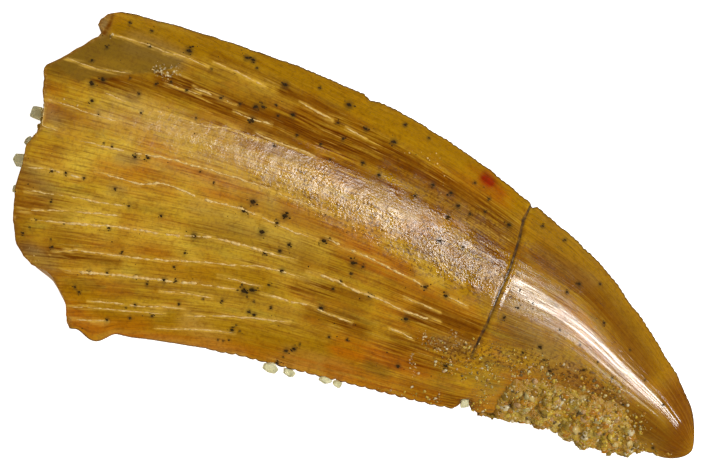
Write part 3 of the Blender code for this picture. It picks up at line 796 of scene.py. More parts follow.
# %% Where the seams run
# Width against a plain seam, then the path in pixels of the photograph.
SEAMS = [
    (0.7, [(112, 34), (128, 39), (150, 45), (165, 52), (185, 57), (208, 67)]),
    (0.6, [(65, 57), (97, 69), (130, 73)]),
    (0.7, [(165, 83), (200, 95)]),
    (0.9, [(214, 62), (241, 74), (265, 86)]),
    (0.9, [(193, 87), (202, 91), (219, 98), (237, 105)]),
    (1.0, [(234, 111), (249, 118), (259, 121), (272, 125)]),
    (0.8, [(180, 119), (199, 125), (231, 129), (251, 138), (269, 146)]),
    (1.4, [(255, 132), (269, 139), (288, 146), (302, 151), (314, 156)]),
    (1.0, [(300, 102), (314, 110), (333, 120)]),
    (0.8, [(346, 128), (366, 139)]),
    (0.9, [(45, 98), (69, 106), (82, 111), (108, 119), (121, 121)]),
    (1.1, [(105, 93), (127, 102)]),
    (1.0, [(155, 110), (178, 118), (200, 125)]),
    (1.2, [(75, 140), (87, 142), (110, 148), (135, 153), (160, 157), (180, 162), (200, 167),
           (220, 173), (237, 178), (255, 184), (270, 189), (285, 196), (303, 203), (320, 210), (340, 216)]),
    (1.1, [(25, 167), (48, 169), (66, 174), (83, 178)]),
    (1.4, [(95, 171), (115, 177), (140, 184), (163, 183), (177, 188), (199, 198), (215, 202),
           (242, 209), (257, 215), (272, 222), (294, 232), (318, 239)]),
    (1.5, [(326, 238), (345, 247), (368, 257), (386, 266), (396, 271), (409, 277), (425, 287)]),
    (0.9, [(446, 296), (468, 306)]),
    (1.1, [(25, 190), (65, 196), (80, 198), (100, 203), (130, 206)]),
    (0.8, [(17, 211), (45, 210), (68, 211)]),
    (1.0, [(75, 212), (95, 213), (120, 216)]),
    (1.5, [(32, 220), (60, 222), (110, 226), (140, 230), (157, 233), (183, 236), (200, 236), (215, 238),
           (235, 243), (257, 249), (272, 254), (297, 260)]),
    (1.1, [(50, 253), (75, 250), (105, 254), (130, 257), (150, 259), (180, 261), (205, 262),
           (230, 265), (258, 266), (280, 271), (290, 274), (310, 279)]),
    (1.4, [(307, 271), (320, 275), (338, 281), (352, 289), (368, 295), (382, 300), (395, 307),
           (407, 312), (420, 316), (440, 322)]),
    (1.0, [(404, 298), (418, 303), (431, 308), (440, 312)]),
    (1.2, [(435, 257), (444, 268), (453, 275), (465, 286)]),
    (1.8, [(62, 270), (90, 273), (115, 275), (135, 277), (155, 279), (175, 282), (195, 283),
           (213, 286), (240, 290)]),
    (1.3, [(261, 294), (272, 296), (290, 301), (305, 304), (318, 309), (328, 314), (345, 320), (352, 323)]),
    (0.9, [(218, 276), (228, 278), (250, 284), (262, 286)]),
    (0.7, [(160, 291), (178, 292), (195, 295), (212, 298)]),
    (1.0, [(88, 301), (115, 303), (140, 306), (165, 307), (185, 309)]),
    (0.7, [(68, 307), (85, 307), (108, 309), (125, 311), (165, 314)]),
    (1.1, [(185, 316), (225, 316), (255, 318), (290, 322)]),
    (0.7, [(69, 319), (88, 320), (108, 321)]),
    (0.8, [(155, 328), (175, 329), (208, 330), (235, 333)]),
    (0.9, [(390, 328), (404, 334), (413, 339)]),
    (0.6, [(44, 97), (45, 106), (43, 116), (42, 126), (49, 128), (58, 131)]),
]
print("seams drawn:", len(SEAMS))

# %% Other values that the materials read
# Growth lines fan out a little towards the base, more than the sections do.
FAN, FAN_START = 0.022, 11.0
FLOW_WIDTH, LOWER_FLOW_SHIFT = 5.5, 20.0
FRONT_PITCH, REAR_PITCH = 0.22, 0.38  # from one denticle to the next
# Strength of each saw, then x where it starts, is full, begins to fade and has ended.
FRONT_SAW, REAR_SAW = (0.6, -9.5, -2.0, 12.7, 13.3), (1.3, -5.5, -2.5, 12.4, 13.0)
SAW_MEAN, SAW_SPREAD, SAW_LIMITS = 0.75, 0.8, (0.25, 1.2)
VEIN_CORE, VEIN_REACH = 0.5, 2.6  # pixels from the middle of a seam


def saw_along(strength, start, full, fading, end):
    """The strength of one edge's saw at every point of the grid."""
    return strength * ramp(EDGE_X, start, full) * (1 - ramp(EDGE_X, fading, end))


vein_gap = np.min([from_path(PIXELS, path) for _, path in SEAMS], axis=0)
vein = (1 - ramp(vein_gap, VEIN_CORE, VEIN_REACH)) * upper_flank
uneven_saw = SAW_MEAN + SAW_SPREAD * wobble_along(along_edge * 0.9, 7.0, 0, octaves=2)
even_saw = np.where(NEAR_FRONT, saw_along(*FRONT_SAW), saw_along(*REAR_SAW))
across_flow = V * (1 + FAN * np.minimum(U - FAN_START, 0.0)) * FLOW_WIDTH
flow = np.stack([U, across_flow, np.where(UPPER, 0.0, LOWER_FLOW_SHIFT)], -1)
facts = {
    **{f"stain_{name}": mask for name, mask in stains.items()},
    "edge_gap": EDGE_GAP,
    "saw_phase": EDGE_RUN / np.where(NEAR_FRONT, FRONT_PITCH, REAR_PITCH),
    "crumb_share": crumb_share,
    "mended": mended,
    "line_share": (1 - 0.92 * ramp(U, TIP - 3.4, TIP - 0.8)) * (1 - 0.8 * flake),
    "glitter": glitter,
    "rim_near": 1 - ramp(U - starts, 0.03, 0.24),
    "flaked": flake,
    "beyond_break": ramp(U, BREAK, BREAK + 0.12),
    "polished": ramp(U, BREAK - 0.2, BREAK + 0.6) * (1 - 0.8 * ramp(U, TIP - 1.0, TIP - 0.1)),
    "vein": vein,
    "saw_strength": np.clip(uneven_saw, *SAW_LIMITS) * even_saw,
    "broken": np.zeros(U.shape),
}
print("values on each point:", ", ".join(facts))


# %% Mesh of the crown
def grid_faces(rows_count, count, first=0):
    """Faces between rows of points that run round the crown, as an array of quads."""
    r, i = np.meshgrid(np.arange(rows_count - 1), np.arange(count), indexing="ij")
    a, b = first + r * count + i, first + r * count + (i + 1) % count
    return np.stack([a, b, b + count, a + count], -1).reshape(-1, 4)


def new_object(name, points, faces):
    """An object from points in millimetres and faces."""
    mesh = bpy.data.meshes.new(name)
    mesh.from_pydata((np.asarray(points) * MM).tolist(), [], [list(map(int, f)) for f in faces])
    return placed(name, mesh)


def store(mesh, name, values):
    """Puts a number or a vector on each point of a mesh."""
    values = np.asarray(values, np.float32)
    kind, key = ("FLOAT", "value") if values.ndim == 1 else ("FLOAT_VECTOR", "vector")
    layer = mesh.attributes.new(name, kind, "POINT")
    layer.data.foreach_set(key, values.ravel())


INNER_STRETCH = (1.0, 3.0, 3.0)  # makes the streaks of the broken face finer across

count = len(v_ring)
stack = np.concatenate([INNER[::-1], OUTER])
points = np.concatenate([stack.reshape(-1, 3), INNER[-1].mean(0)[None], OUTER[-1].mean(0)[None]])
deep_end, tip_end = len(points) - 2, len(points) - 1
points[tip_end] = crown_points(np.array([TIP]), np.array([0.0]), np.array([True]))[0]
faces = list(grid_faces(len(stack), count))
last = (len(stack) - 1) * count
faces += [(last + i, last + (i + 1) % count, tip_end) for i in range(count)]
faces += [((i + 1) % count, i, deep_end) for i in range(count)]
crown = new_object("tooth_crown", points, faces)

inner_rows = len(INNER)


def for_all(values, inner_value):
    """The values of the skin's points, with another for the broken face and the cavity."""
    inner = np.broadcast_to(inner_value, (inner_rows,) + values.shape[1:])
    whole = np.concatenate([inner, values]).reshape(-1, *values.shape[2:])
    return np.concatenate([whole, whole[:1], whole[-1:]])


for name, values in facts.items():
    inner_value = 1.0 if name == "broken" else 0.0
    store(crown.data, name, for_all(values, inner_value))
inner_flow = stack[:inner_rows] * INNER_STRETCH
whole_flow = np.concatenate([inner_flow, flow]).reshape(-1, 3)
store(crown.data, "flow", np.concatenate([whole_flow, whole_flow[:1], whole_flow[-1:]]))
way = np.concatenate([EDGE_WAY, np.zeros(U.shape + (1,))], -1)
store(crown.data, "edge_way", for_all(way, np.zeros(3)))
crown.data.shade_smooth()
print("crown:", len(crown.data.vertices), "points,", len(crown.data.polygons), "faces")

# %% [markdown]
# The saw edge repeats, so it is made by Geometry Nodes. Each point already knows how far along
# its edge it lies and how far in from it. The tree pushes the edge out into rounded denticles,
# finer on the front edge than on the rear one, and sinks a short groove between each two. The
# same small helpers build every tree in this notebook.


# %% Helpers for node trees
def put(tree, node, socket, value):
    """Sets an input of a node, or links it if the value is another node's output."""
    target = node.inputs[socket]
    if isinstance(value, bpy.types.NodeSocket):
        tree.links.new(value, target)
    else:
        target.default_value = value


def add(tree, kind, inputs=None, **settings):
    """A new node with its settings and inputs, where an input is given by name or number."""
    node = tree.nodes.new(kind)
    for name, value in settings.items():
        setattr(node, name, value)
    for socket, value in (inputs or {}).items():
        put(tree, node, socket, value)
    return node


def calc(tree, operation, *values, clamp=False):
    node = add(tree, "ShaderNodeMath", dict(enumerate(values)), operation=operation, use_clamp=clamp)
    return node.outputs[0]


def times(tree, value, *others):
    """The product of two or more values."""
    for other in others:
        value = calc(tree, "MULTIPLY", value, other)
    return value


def plus(tree, value, *others):
    """The sum of two or more values."""
    for other in others:
        value = calc(tree, "ADD", value, other)
    return value


def vector_calc(tree, operation, value, other):
    """Vector maths. The number after a SCALE goes to the Scale input."""
    second = "Scale" if operation == "SCALE" else 1
    return add(tree, "ShaderNodeVectorMath", {0: value, second: other}, operation=operation).outputs[0]


def fit(tree, value, low, high, to_low=0.0, to_high=1.0, kind="SMOOTHSTEP"):
    """The value's range low to high, taken to another range and held there."""
    node = add(
        tree, "ShaderNodeMapRange",
        {"Value": value, "From Min": low, "From Max": high, "To Min": to_low, "To Max": to_high},
        interpolation_type=kind,
    )
    return node.outputs[0]


def add_inputs(group, inputs):
    """Gives a tree or an effect its inputs: label, kind and starting value of each."""
    for label, kind, value in inputs:
        socket = group.interface.new_socket(label, in_out="INPUT", socket_type="NodeSocket" + kind)
        if value is not None:
            socket.default_value = value


def new_tree(name, inputs):
    """A geometry tree with named inputs. Gives the tree, its input node and its output node."""
    tree = bpy.data.node_groups.new(name, "GeometryNodeTree")
    tree.interface.new_socket("Geometry", in_out="INPUT", socket_type="NodeSocketGeometry")
    add_inputs(tree, inputs)
    tree.interface.new_socket("Geometry", in_out="OUTPUT", socket_type="NodeSocketGeometry")
    return tree, tree.nodes.new("NodeGroupInput").outputs, tree.nodes.new("NodeGroupOutput")


def named(tree, name, kind="FLOAT"):
    """The value of a point attribute inside a geometry tree."""
    return add(tree, "GeometryNodeInputNamedAttribute", {"Name": name}, data_type=kind).outputs[0]


def close_tree(tree, geometry, finish, output):
    """Ends a tree: instances made real, material set."""
    real = add(tree, "GeometryNodeRealizeInstances", {"Geometry": geometry})
    dressed = add(tree, "GeometryNodeSetMaterial", {"Geometry": real.outputs[0], "Material": finish})
    tree.links.new(dressed.outputs[0], output.inputs[0])


def made_by(tree, carrier, name, values):
    """Runs a tree on a carrier object and gives its result as a plain new object."""
    modifier = carrier.modifiers.new(tree.name, "NODES")
    modifier.node_group = tree
    for item in tree.interface.items_tree:
        if item.in_out == "INPUT" and item.name in values:
            modifier[item.identifier] = values[item.name]
    bpy.context.view_layer.update()
    depsgraph = bpy.context.evaluated_depsgraph_get()
    mesh = bpy.data.meshes.new_from_object(
        carrier.evaluated_get(depsgraph), preserve_all_data_layers=True, depsgraph=depsgraph
    )
    carrier.modifiers.clear()
    mesh.name = name
    made = placed(name, mesh)
    bpy.data.objects.remove(carrier)
    print(name + ":", len(mesh.vertices), "points,", len(mesh.polygons), "faces")
    return made


print("tree helpers ready")

# %% Tree: denticles along the edges
saw_tree, given, output = new_tree("denticles_along_the_edges", [
    ("Height", "Float", 0.045),
    ("Roundness", "Float", 0.7),
    ("Mean", "Float", 0.7),
    ("Reach", "Float", 0.12),
    ("Groove Depth", "Float", 0.02),
    ("Groove Length", "Float", 0.7),
    ("Material", "Material", None),
])
tree = saw_tree
gap, strength = named(tree, "edge_gap"), named(tree, "saw_strength")
wave = calc(tree, "ABSOLUTE", calc(tree, "SINE", times(tree, named(tree, "saw_phase"), math.pi)))
lobe = calc(tree, "POWER", wave, given["Roundness"])
swell = calc(tree, "SUBTRACT", lobe, given["Mean"])
out = times(tree, swell, given["Height"], strength, fit(tree, gap, 0.0, given["Reach"], 1.0, 0.0))
hollow = calc(tree, "POWER", calc(tree, "SUBTRACT", 1.0, lobe), 2.0)
groove_length = times(tree, given["Groove Length"], named(tree, "groove_share"))
near_edge = fit(tree, gap, 0.0, groove_length, 1.0, 0.0)
down = times(tree, hollow, strength, given["Groove Depth"], near_edge)
outwards = vector_calc(tree, "SCALE", named(tree, "edge_way", "FLOAT_VECTOR"), out)
inwards = vector_calc(tree, "SCALE", tree.nodes.new("GeometryNodeInputNormal").outputs[0], down)
move = vector_calc(tree, "SCALE", vector_calc(tree, "SUBTRACT", outwards, inwards), MM)
sawn = add(tree, "GeometryNodeSetPosition", {"Geometry": given["Geometry"], "Offset": move})
close_tree(tree, sawn.outputs[0], given["Material"], output)
print("tree:", tree.name)

# %% [markdown]
# Next come the shader effects that several materials share. Growth streaks are noise drawn out
# along the growth lines. A ragged stain eats the border of a painted mask with those streaks.
# Mottle is plain noise in the space of the object, and crystals are small cells with raised
# borders. Each is a group with named inputs, built once, and it gives out only a value.


# %% Helpers for materials
def as_seen(red, green, blue):
    """A colour as a screen shows it, 0 to 255, in the linear values that shaders use."""
    def linear(c):
        c /= 255
        return c / 12.92 if c <= 0.04045 else ((c + 0.055) / 1.055) ** 2.4
    return (linear(red), linear(green), linear(blue), 1.0)


def new_effect(name, inputs, output):
    """A shader group with named inputs that gives out one value."""
    group = bpy.data.node_groups.new(name, "ShaderNodeTree")
    add_inputs(group, inputs)
    group.interface.new_socket(output, in_out="OUTPUT", socket_type="NodeSocketFloat")
    return group, group.nodes.new("NodeGroupInput").outputs, group.nodes.new("NodeGroupOutput")


def effect(tree, group, **inputs):
    """Places a shared effect and gives its value."""
    node = tree.nodes.new("ShaderNodeGroup")
    node.node_tree = group
    for label, value in inputs.items():
        put(tree, node, label.replace("_", " "), value)
    return node.outputs[0]


def stored(tree, name, vector=False):
    """A value that is stored on the mesh, inside a material."""
    node = add(tree, "ShaderNodeAttribute", attribute_type="GEOMETRY", attribute_name=name)
    return node.outputs["Vector" if vector else "Fac"]


def blend(tree, amount, under, over, way="MIX"):
    """Lays one colour over another."""
    node = add(tree, "ShaderNodeMix", data_type="RGBA", blend_type=way)
    for socket, value in ((0, amount), (6, under), (7, over)):
        put(tree, node, socket, value)
    return node.outputs[2]


def between(tree, amount, tones):
    """From one colour to another, both given as a screen shows them."""
    return blend(tree, amount, as_seen(*tones[0]), as_seen(*tones[1]))


def contrasted(tree, value, contrast):
    """Noise from 0 to 1 with its middle range stretched, the more the higher the contrast."""
    half = calc(tree, "SUBTRACT", 0.5, times(tree, contrast, 0.4))
    return fit(tree, value, half, calc(tree, "SUBTRACT", 1.0, half))


def place_in_object(tree, size, seed):
    """The place on the object in steps of a size in millimetres, moved by a seed."""
    spot = add(tree, "ShaderNodeTexCoord").outputs["Object"]
    scaled = vector_calc(tree, "SCALE", spot, calc(tree, "DIVIDE", 1.0 / MM, size))
    shift = add(tree, "ShaderNodeCombineXYZ", {"X": seed, "Y": seed})
    return vector_calc(tree, "ADD", scaled, shift.outputs[0])


print("material helpers ready")

# %% Effect: growth streaks
growth_streaks, given, output = new_effect(
    "growth_streaks",
    [("Flow", "Vector", None), ("Length", "Float", 4.0), ("Spacing", "Float", 0.2),
     ("Seed", "Float", 0.0), ("Contrast", "Float", 0.5)],
    "Streaks",
)
tree = growth_streaks
shrink = add(tree, "ShaderNodeCombineXYZ", {
    "X": calc(tree, "DIVIDE", 1.0, given["Length"]),
    "Y": calc(tree, "DIVIDE", 1.0, given["Spacing"]),
    "Z": 1.0,
})
place = vector_calc(tree, "MULTIPLY", given["Flow"], shrink.outputs[0])
shift = add(tree, "ShaderNodeCombineXYZ", {"Z": given["Seed"]})
place = vector_calc(tree, "ADD", place, shift.outputs[0])
drawn = add(tree, "ShaderNodeTexNoise", {"Vector": place, "Scale": 1.0, "Detail": 3.0, "Roughness": 0.55})
tree.links.new(contrasted(tree, drawn.outputs[0], given["Contrast"]), output.inputs[0])
print("effect:", tree.name)

# %% Effect: ragged stain
ragged_stain, given, output = new_effect(
    "ragged_stain",
    [("Mask", "Float", 0.0), ("Streaks", "Float", 0.5), ("Raggedness", "Float", 0.6)],
    "Cover",
)
tree = ragged_stain
offset = times(tree, calc(tree, "SUBTRACT", given["Streaks"], 0.5), given["Raggedness"])
cover = calc(tree, "MULTIPLY", given["Mask"], plus(tree, offset, 1.0), clamp=True)
tree.links.new(cover, output.inputs[0])
print("effect:", tree.name)

# %% Effect: mottle
mottle, given, output = new_effect(
    "mottle",
    [("Size", "Float", 0.2), ("Seed", "Float", 0.0), ("Contrast", "Float", 0.5)],
    "Mottle",
)
tree = mottle
place = place_in_object(tree, given["Size"], given["Seed"])
drawn = add(tree, "ShaderNodeTexNoise", {"Vector": place, "Scale": 1.0, "Detail": 3.0, "Roughness": 0.6})
tree.links.new(contrasted(tree, drawn.outputs[0], given["Contrast"]), output.inputs[0])


def mottled(tree, size, seed, contrast=0.5):
    """Mottle of a size in millimetres."""
    return effect(tree, mottle, Size=size, Seed=seed, Contrast=contrast)


print("effect:", tree.name)

# %% Effect: crystals
crystals, given, output = new_effect("crystals", [("Size", "Float", 0.1), ("Seed", "Float", 0.0)], "Distance")
tree = crystals
place = place_in_object(tree, given["Size"], given["Seed"])
cells = add(tree, "ShaderNodeTexVoronoi", {"Vector": place, "Scale": 1.0, "Randomness": 1.0})
tree.links.new(cells.outputs["Distance"], output.inputs[0])
print("effect:", tree.name)

# %% [markdown]
# The enamel is one material. Its colour starts as honey and tawny streaks, then takes the
# painted stains from palest to darkest. Fine dark and light lines run along the growth lines
# over everything. The body of the tooth is worn and grainy, so its highlight glitters. The tip
# beyond the break has kept its polish: a clear coat that brush lines break up.

# %% Enamel
ENAMEL = {
    "honey": (184, 138, 18),
    "tawny": (162, 106, 8),
    "orange": (190, 120, 6),
    "straw": (214, 174, 50),
    "gold": (155, 109, 2),
    "peach": (192, 142, 58),
    "rust": (180, 104, 4),
    "olive": (136, 98, 12),
    "grey": (148, 116, 60),
    "umber": (120, 68, 2),
    "red": (140, 32, 2),
    # rim: painted shade along the very edge of the blade, where it turns over
    "rim": (92, 72, 44),
    "break": (58, 40, 24),
    "dentine": (176, 142, 92),
    "dark_line": (92, 52, 6),
    "pale_line": (226, 180, 72),
    "lime": (214, 196, 150),
    "sage": (152, 128, 38),
    "salmon": (176, 104, 28),
    "cocoa": (136, 88, 14),
    "cream": (206, 168, 84),
    "flake": (118, 88, 22),
    "speck": (52, 40, 22),
    "rim_cream": (224, 178, 92),
    "rim_brown": (126, 80, 18),
}
RAGGEDNESS = {
    "straw": 1.0, "gold": 0.5, "peach": 0.9, "rust": 1.2, "olive": 0.7, "grey": 1.0, "umber": 0.5, "red": 0.5,
}

GROUND_SHARES = (0.45, 0.3, 0.25)  # of broad streaks, medium streaks and cloud
PATCH_COLOURS = (("sage", 41.0, 0.6), ("salmon", 52.0, 0.45), ("cocoa", 63.0, 0.5))  # seed and share
ORANGE_SHARE, CLOT_SHARE, FLAKE_SHARE = 0.6, 0.8, 0.6
CLOT_TINT = (226, 214, 170)  # what small clots of stain multiply by

enamel, tree, shader = new_material("amber_enamel")
colour_of = {name: as_seen(*value) for name, value in ENAMEL.items()}
flow_line = stored(tree, "flow", vector=True)


def streaks_of(length, spacing, seed, contrast):
    """Growth streaks of a length and spacing in millimetres."""
    return effect(
        tree, growth_streaks, Flow=flow_line, Length=length, Spacing=spacing, Seed=seed, Contrast=contrast
    )


def mixed(shares, *values):
    """The sum of values, each by its share."""
    return plus(tree, *[times(tree, value, share) for value, share in zip(values, shares)])


def overlay(amount, name):
    """Lays one of the enamel's colours over what there is so far."""
    return blend(tree, amount, colour, colour_of[name])


broad = streaks_of(7.0, 0.9, 1.0, 0.6)
medium = streaks_of(4.5, 0.26, 2.0, 0.6)
fine = streaks_of(1.7, 0.065, 3.0, 0.75)
hair = streaks_of(0.9, 0.045, 4.0, 0.6)
threads = streaks_of(1.5, 0.070, 6.0, 0.6)
scratches = streaks_of(2.2, 0.12, 9.0, 0.2)
cloud = mottled(tree, 1.3, 5.0, 0.6)
pores = mottled(tree, 0.11, 8.0, 0.5)

ground_mix = mixed(GROUND_SHARES, broad, medium, cloud)
colour = blend(tree, fit(tree, ground_mix, 0.40, 0.8), colour_of["honey"], colour_of["tawny"])
warm = mottled(tree, 2.4, 30.0, 0.7)
colour = overlay(times(tree, fit(tree, warm, 0.4, 0.9), ORANGE_SHARE), "orange")
for name, seed, share in PATCH_COLOURS:
    patches = fit(tree, streaks_of(1.5, 0.5, seed, 0.7), 0.55, 1.0)
    colour = overlay(times(tree, patches, share), name)
# The straw and peach masks also carry a few strokes of painted highlight.
for name in RAGGEDNESS:
    cover = effect(
        tree, ragged_stain, Mask=stored(tree, "stain_" + name), Streaks=medium if name != "red" else cloud,
        Raggedness=RAGGEDNESS[name],
    )
    tone = colour_of[name]
    if name == "peach":
        tone = blend(tree, mottled(tree, 0.4, 81.0, 0.9), tone, colour_of["cream"])
    colour = blend(tree, cover, colour, tone)
clots = fit(tree, mottled(tree, 0.24, 91.0, 0.8), 0.5, 1.0)
colour = blend(tree, times(tree, clots, CLOT_SHARE), colour, as_seen(*CLOT_TINT), way="MULTIPLY")
colour = overlay(times(tree, stored(tree, "flaked"), FLAKE_SHARE), "flake")
print("enamel colours:", len(ENAMEL))

# %% Enamel: lines, rim and broken face
STRIPES_OUT_AND_IN = (0.5, 0.95)  # how striped the ground is, and the umber
STRIPE_TINTS = ((196, 168, 120), (116, 94, 22))  # what dark stripes multiply by, and pale ones add
STRIPE_SHARES = (0.8, 0.2)  # of fine and medium streaks
PALE_STRIPE, DARK_LINE, PALE_LINE = 0.8, 0.40, 0.45
LIME_ON_CRUMBS, GRIME_ON_CRUMBS, GRIME_SHARE = 0.55, 0.4, 0.7
SCRATCH_SHARE, HALO_SHARE, EDGE_SHADE_SHARE, EDGE_SHADE_WIDTH = 0.65, 0.6, 0.75, 0.07

on_body = stored(tree, "line_share")
in_umber = fit(tree, stored(tree, "stain_umber"), 0.1, 0.8, *STRIPES_OUT_AND_IN)
in_gold = fit(tree, stored(tree, "stain_gold"), 0.2, 0.9, 1.0, 0.3)
striped = times(tree, in_umber, in_gold, on_body)
uneven_stripes = fit(tree, mottled(tree, 1.5, 77.0, 0.8), 0.2, 0.8, 0.45, 1.35)
striped = times(tree, striped, uneven_stripes)
both = mixed(STRIPE_SHARES, fine, medium)
dark_half = times(tree, fit(tree, both, 0.47, 0.78), striped)
pale_half = times(tree, fit(tree, both, 0.22, 0.5, 1.0, 0.0), striped)
pale_half = times(tree, pale_half, fit(tree, stored(tree, "stain_umber"), 0.3, 1.0, 1.0, 0.6))
colour = blend(tree, dark_half, colour, as_seen(*STRIPE_TINTS[0]), way="MULTIPLY")
colour = blend(tree, times(tree, pale_half, PALE_STRIPE), colour, as_seen(*STRIPE_TINTS[1]), way="SCREEN")
dark_lines = times(tree, fit(tree, hair, 0.60, 1.0), times(tree, on_body, DARK_LINE))
colour = overlay(dark_lines, "dark_line")
pale_lines = times(tree, fit(tree, threads, 0.78, 1.0), times(tree, striped, PALE_LINE))
colour = overlay(pale_lines, "pale_line")
veins = times(tree, stored(tree, "vein"), fit(tree, threads, 0.3, 0.7, 0.15, 0.75))
colour = overlay(veins, "pale_line")
crumbs = stored(tree, "crumb_share")
flecks = mottled(tree, 0.12, 33.0, 0.8)
lime = fit(tree, plus(tree, flecks, times(tree, crumbs, LIME_ON_CRUMBS)), 1.05, 1.4)
colour = overlay(times(tree, lime, fit(tree, crumbs, 0.0, 0.1)), "lime")
grime = mottled(tree, 0.14, 61.0, 0.8)
grime = fit(tree, plus(tree, grime, times(tree, crumbs, GRIME_ON_CRUMBS)), 0.95, 1.3)
colour = overlay(times(tree, grime, GRIME_SHARE), "speck")
glitter = stored(tree, "glitter")
# Dark pits, strongest where the ridge glitters: partly the enamel's own pores, partly painted shade between
# the glints.
dark_pits_and_shade = times(tree, fit(tree, pores, 0.45, 0.95), fit(tree, glitter, 0.0, 0.9, 0.22, 0.85))
colour = overlay(dark_pits_and_shade, "dark_line")
scratch = fit(tree, calc(tree, "ABSOLUTE", calc(tree, "SUBTRACT", scratches, 0.5)), 0.0, 0.12, 1.0, 0.0)
scratch = times(tree, scratch, times(tree, stored(tree, "beyond_break"), on_body))
colour = overlay(times(tree, scratch, SCRATCH_SHARE), "speck")
rim_grain = mottled(tree, 0.13, 71.0, 1.0)
rim_tone = blend(tree, fit(tree, rim_grain, 0.5, 1.0), colour_of["rim_brown"], colour_of["rim_cream"])
rim_patch = fit(tree, mottled(tree, 0.7, 73.0, 0.8), 0.2, 0.8, 0.25, 0.85)
colour = blend(tree, times(tree, stored(tree, "rim_near"), rim_patch), colour, rim_tone)
colour = overlay(times(tree, stored(tree, "dot_halo"), HALO_SHARE), "speck")
# Painted shade: a dark line along the very edge of the blade.
painted_edge_shade = times(tree, fit(tree, stored(tree, "edge_gap"), 0.0, EDGE_SHADE_WIDTH, 1.0, 0.0), EDGE_SHADE_SHARE)
colour = overlay(painted_edge_shade, "rim")
worn_away = fit(tree, mottled(tree, 0.3, 13.0, 0.8), 0.1, 0.8, 0.45, 0.95)
break_cover = times(tree, fit(tree, stored(tree, "mended"), 0.3, 0.9), worn_away)
colour = overlay(break_cover, "break")
broken = stored(tree, "broken")
dentine = blend(tree, mottled(tree, 0.35, 3.0), colour_of["dentine"], colour_of["tawny"])
colour = blend(tree, fit(tree, broken, 0.0, 0.6), colour, dentine)
put(tree, shader, "Base Color", colour)

# %% Enamel: gloss and fine relief
ROUGH_SMOOTH, ROUGH_WORN, ROUGH_BROKEN = 0.18, (0.10, 0.28), 0.8
PORE_ROUGH, SCRATCH_ROUGH, BREAK_ROUGH, BRUSH_ROUGH = 0.08, 0.4, 0.3, 0.1
ENAMEL_IOR = 1.65
COAT_ROUGHNESS, COAT_IOR = 0.2, 1.9  # the tip's polish
BRUSH_SHARES = (0.5, 0.2, 0.3)  # of fine, hair-fine and medium streaks
BUMP_HEIGHT = 0.0095 * MM
GRAIN_AND_CHIPS = (0.6, 1.1)
HAIR_HEIGHT, LINE_HEIGHT, TIP_BRUSHING = 0.5, 0.14, 1.2

dull = mottled(tree, 0.5, 17.0, 0.8)
rough_worn = fit(tree, dull, 0.2, 0.8, *ROUGH_WORN)
rough = fit(tree, glitter, 0.0, 0.5, ROUGH_SMOOTH, rough_worn)
rough = plus(tree, rough, times(tree, calc(tree, "SUBTRACT", pores, 0.5), PORE_ROUGH))
rough = calc(tree, "MAXIMUM", rough, times(tree, broken, ROUGH_BROKEN))
rough = calc(tree, "MAXIMUM", rough, times(tree, scratch, SCRATCH_ROUGH))
brush_rough = times(tree, fit(tree, hair, 0.4, 0.8, 0.0, BRUSH_ROUGH), on_body)
rough = plus(tree, rough, times(tree, brush_rough, stored(tree, "beyond_break")))
calm = calc(tree, "MAXIMUM", stored(tree, "stain_gold"), stored(tree, "stain_umber"), clamp=True)
calm = times(tree, calm, fit(tree, glitter, 0.0, 0.5, 1.0, 0.2))
rough = times(tree, rough, fit(tree, calm, 0.1, 0.8, 1.0, 0.5))
rough = calc(tree, "MAXIMUM", rough, times(tree, stored(tree, "mended"), BREAK_ROUGH))
put(tree, shader, "Roughness", rough)
put(tree, shader, "IOR", ENAMEL_IOR)
brushed = mixed(BRUSH_SHARES, fine, hair, medium)
polish = times(tree, stored(tree, "polished"), fit(tree, brushed, 0.38, 0.62, 1.0, 0.1))
polish = times(tree, polish, calc(tree, "SUBTRACT", 1.0, scratch))
polish = times(tree, polish, fit(tree, calm, 0.1, 0.8, 1.0, 0.5))
put(tree, shader, "Coat Weight", polish)
put(tree, shader, "Coat Roughness", COAT_ROUGHNESS)
put(tree, shader, "Coat IOR", COAT_IOR)
grain = mottled(tree, 0.11, 21.0, 0.6)
chips = effect(tree, crystals, Size=0.085, Seed=3.0)
height = mixed(GRAIN_AND_CHIPS, grain, chips)
height = times(tree, height, fit(tree, glitter, 0.0, 1.0, 0.08, 1.0, kind="LINEAR"))
sparkling = fit(tree, mottled(tree, 0.6, 95.0, 0.8), 0.2, 0.8, 0.45, 1.25)
height = times(tree, height, sparkling)
line_height = times(tree, plus(tree, fine, times(tree, hair, HAIR_HEIGHT)), LINE_HEIGHT)
brushing = plus(tree, times(tree, stored(tree, "polished"), TIP_BRUSHING), 1.0)
brushing = times(tree, brushing, on_body)
height = plus(tree, height, times(tree, line_height, brushing))
relief = add(tree, "ShaderNodeBump", {"Height": height, "Strength": 1.0, "Distance": BUMP_HEIGHT})
put(tree, shader, "Normal", relief.outputs[0])
print("enamel nodes:", len(tree.nodes))

# %% Cut the saw edge
FRONT_GROOVE = 0.35  # length of a groove on the front edge against one on the rear edge

store(crown.data, "groove_share", for_all(np.where(NEAR_FRONT, FRONT_GROOVE, 1.0), 1.0))
tooth = made_by(saw_tree, crown, "tooth_enamel", {"Material": enamel})
tooth.data.shade_smooth()
GROUND = BVHTree.FromPolygons(
    [v.co for v in tooth.data.vertices], [list(p.vertices) for p in tooth.data.polygons]
)


def land(px, py):
    """The point of the tooth that a pixel of the photograph shows."""
    eye, aim = camera.location, from_photo(px, py) * MM
    hit = GROUND.ray_cast(eye, (aim - eye).normalized())[0]
    return hit if hit is not None else GROUND.find_nearest(aim)[0]


middle = land(PHOTO_SIZE[0] / 2, PHOTO_SIZE[1] / 2)
print("height of the tooth at the photograph's middle:", round(middle.z / MM, 2))

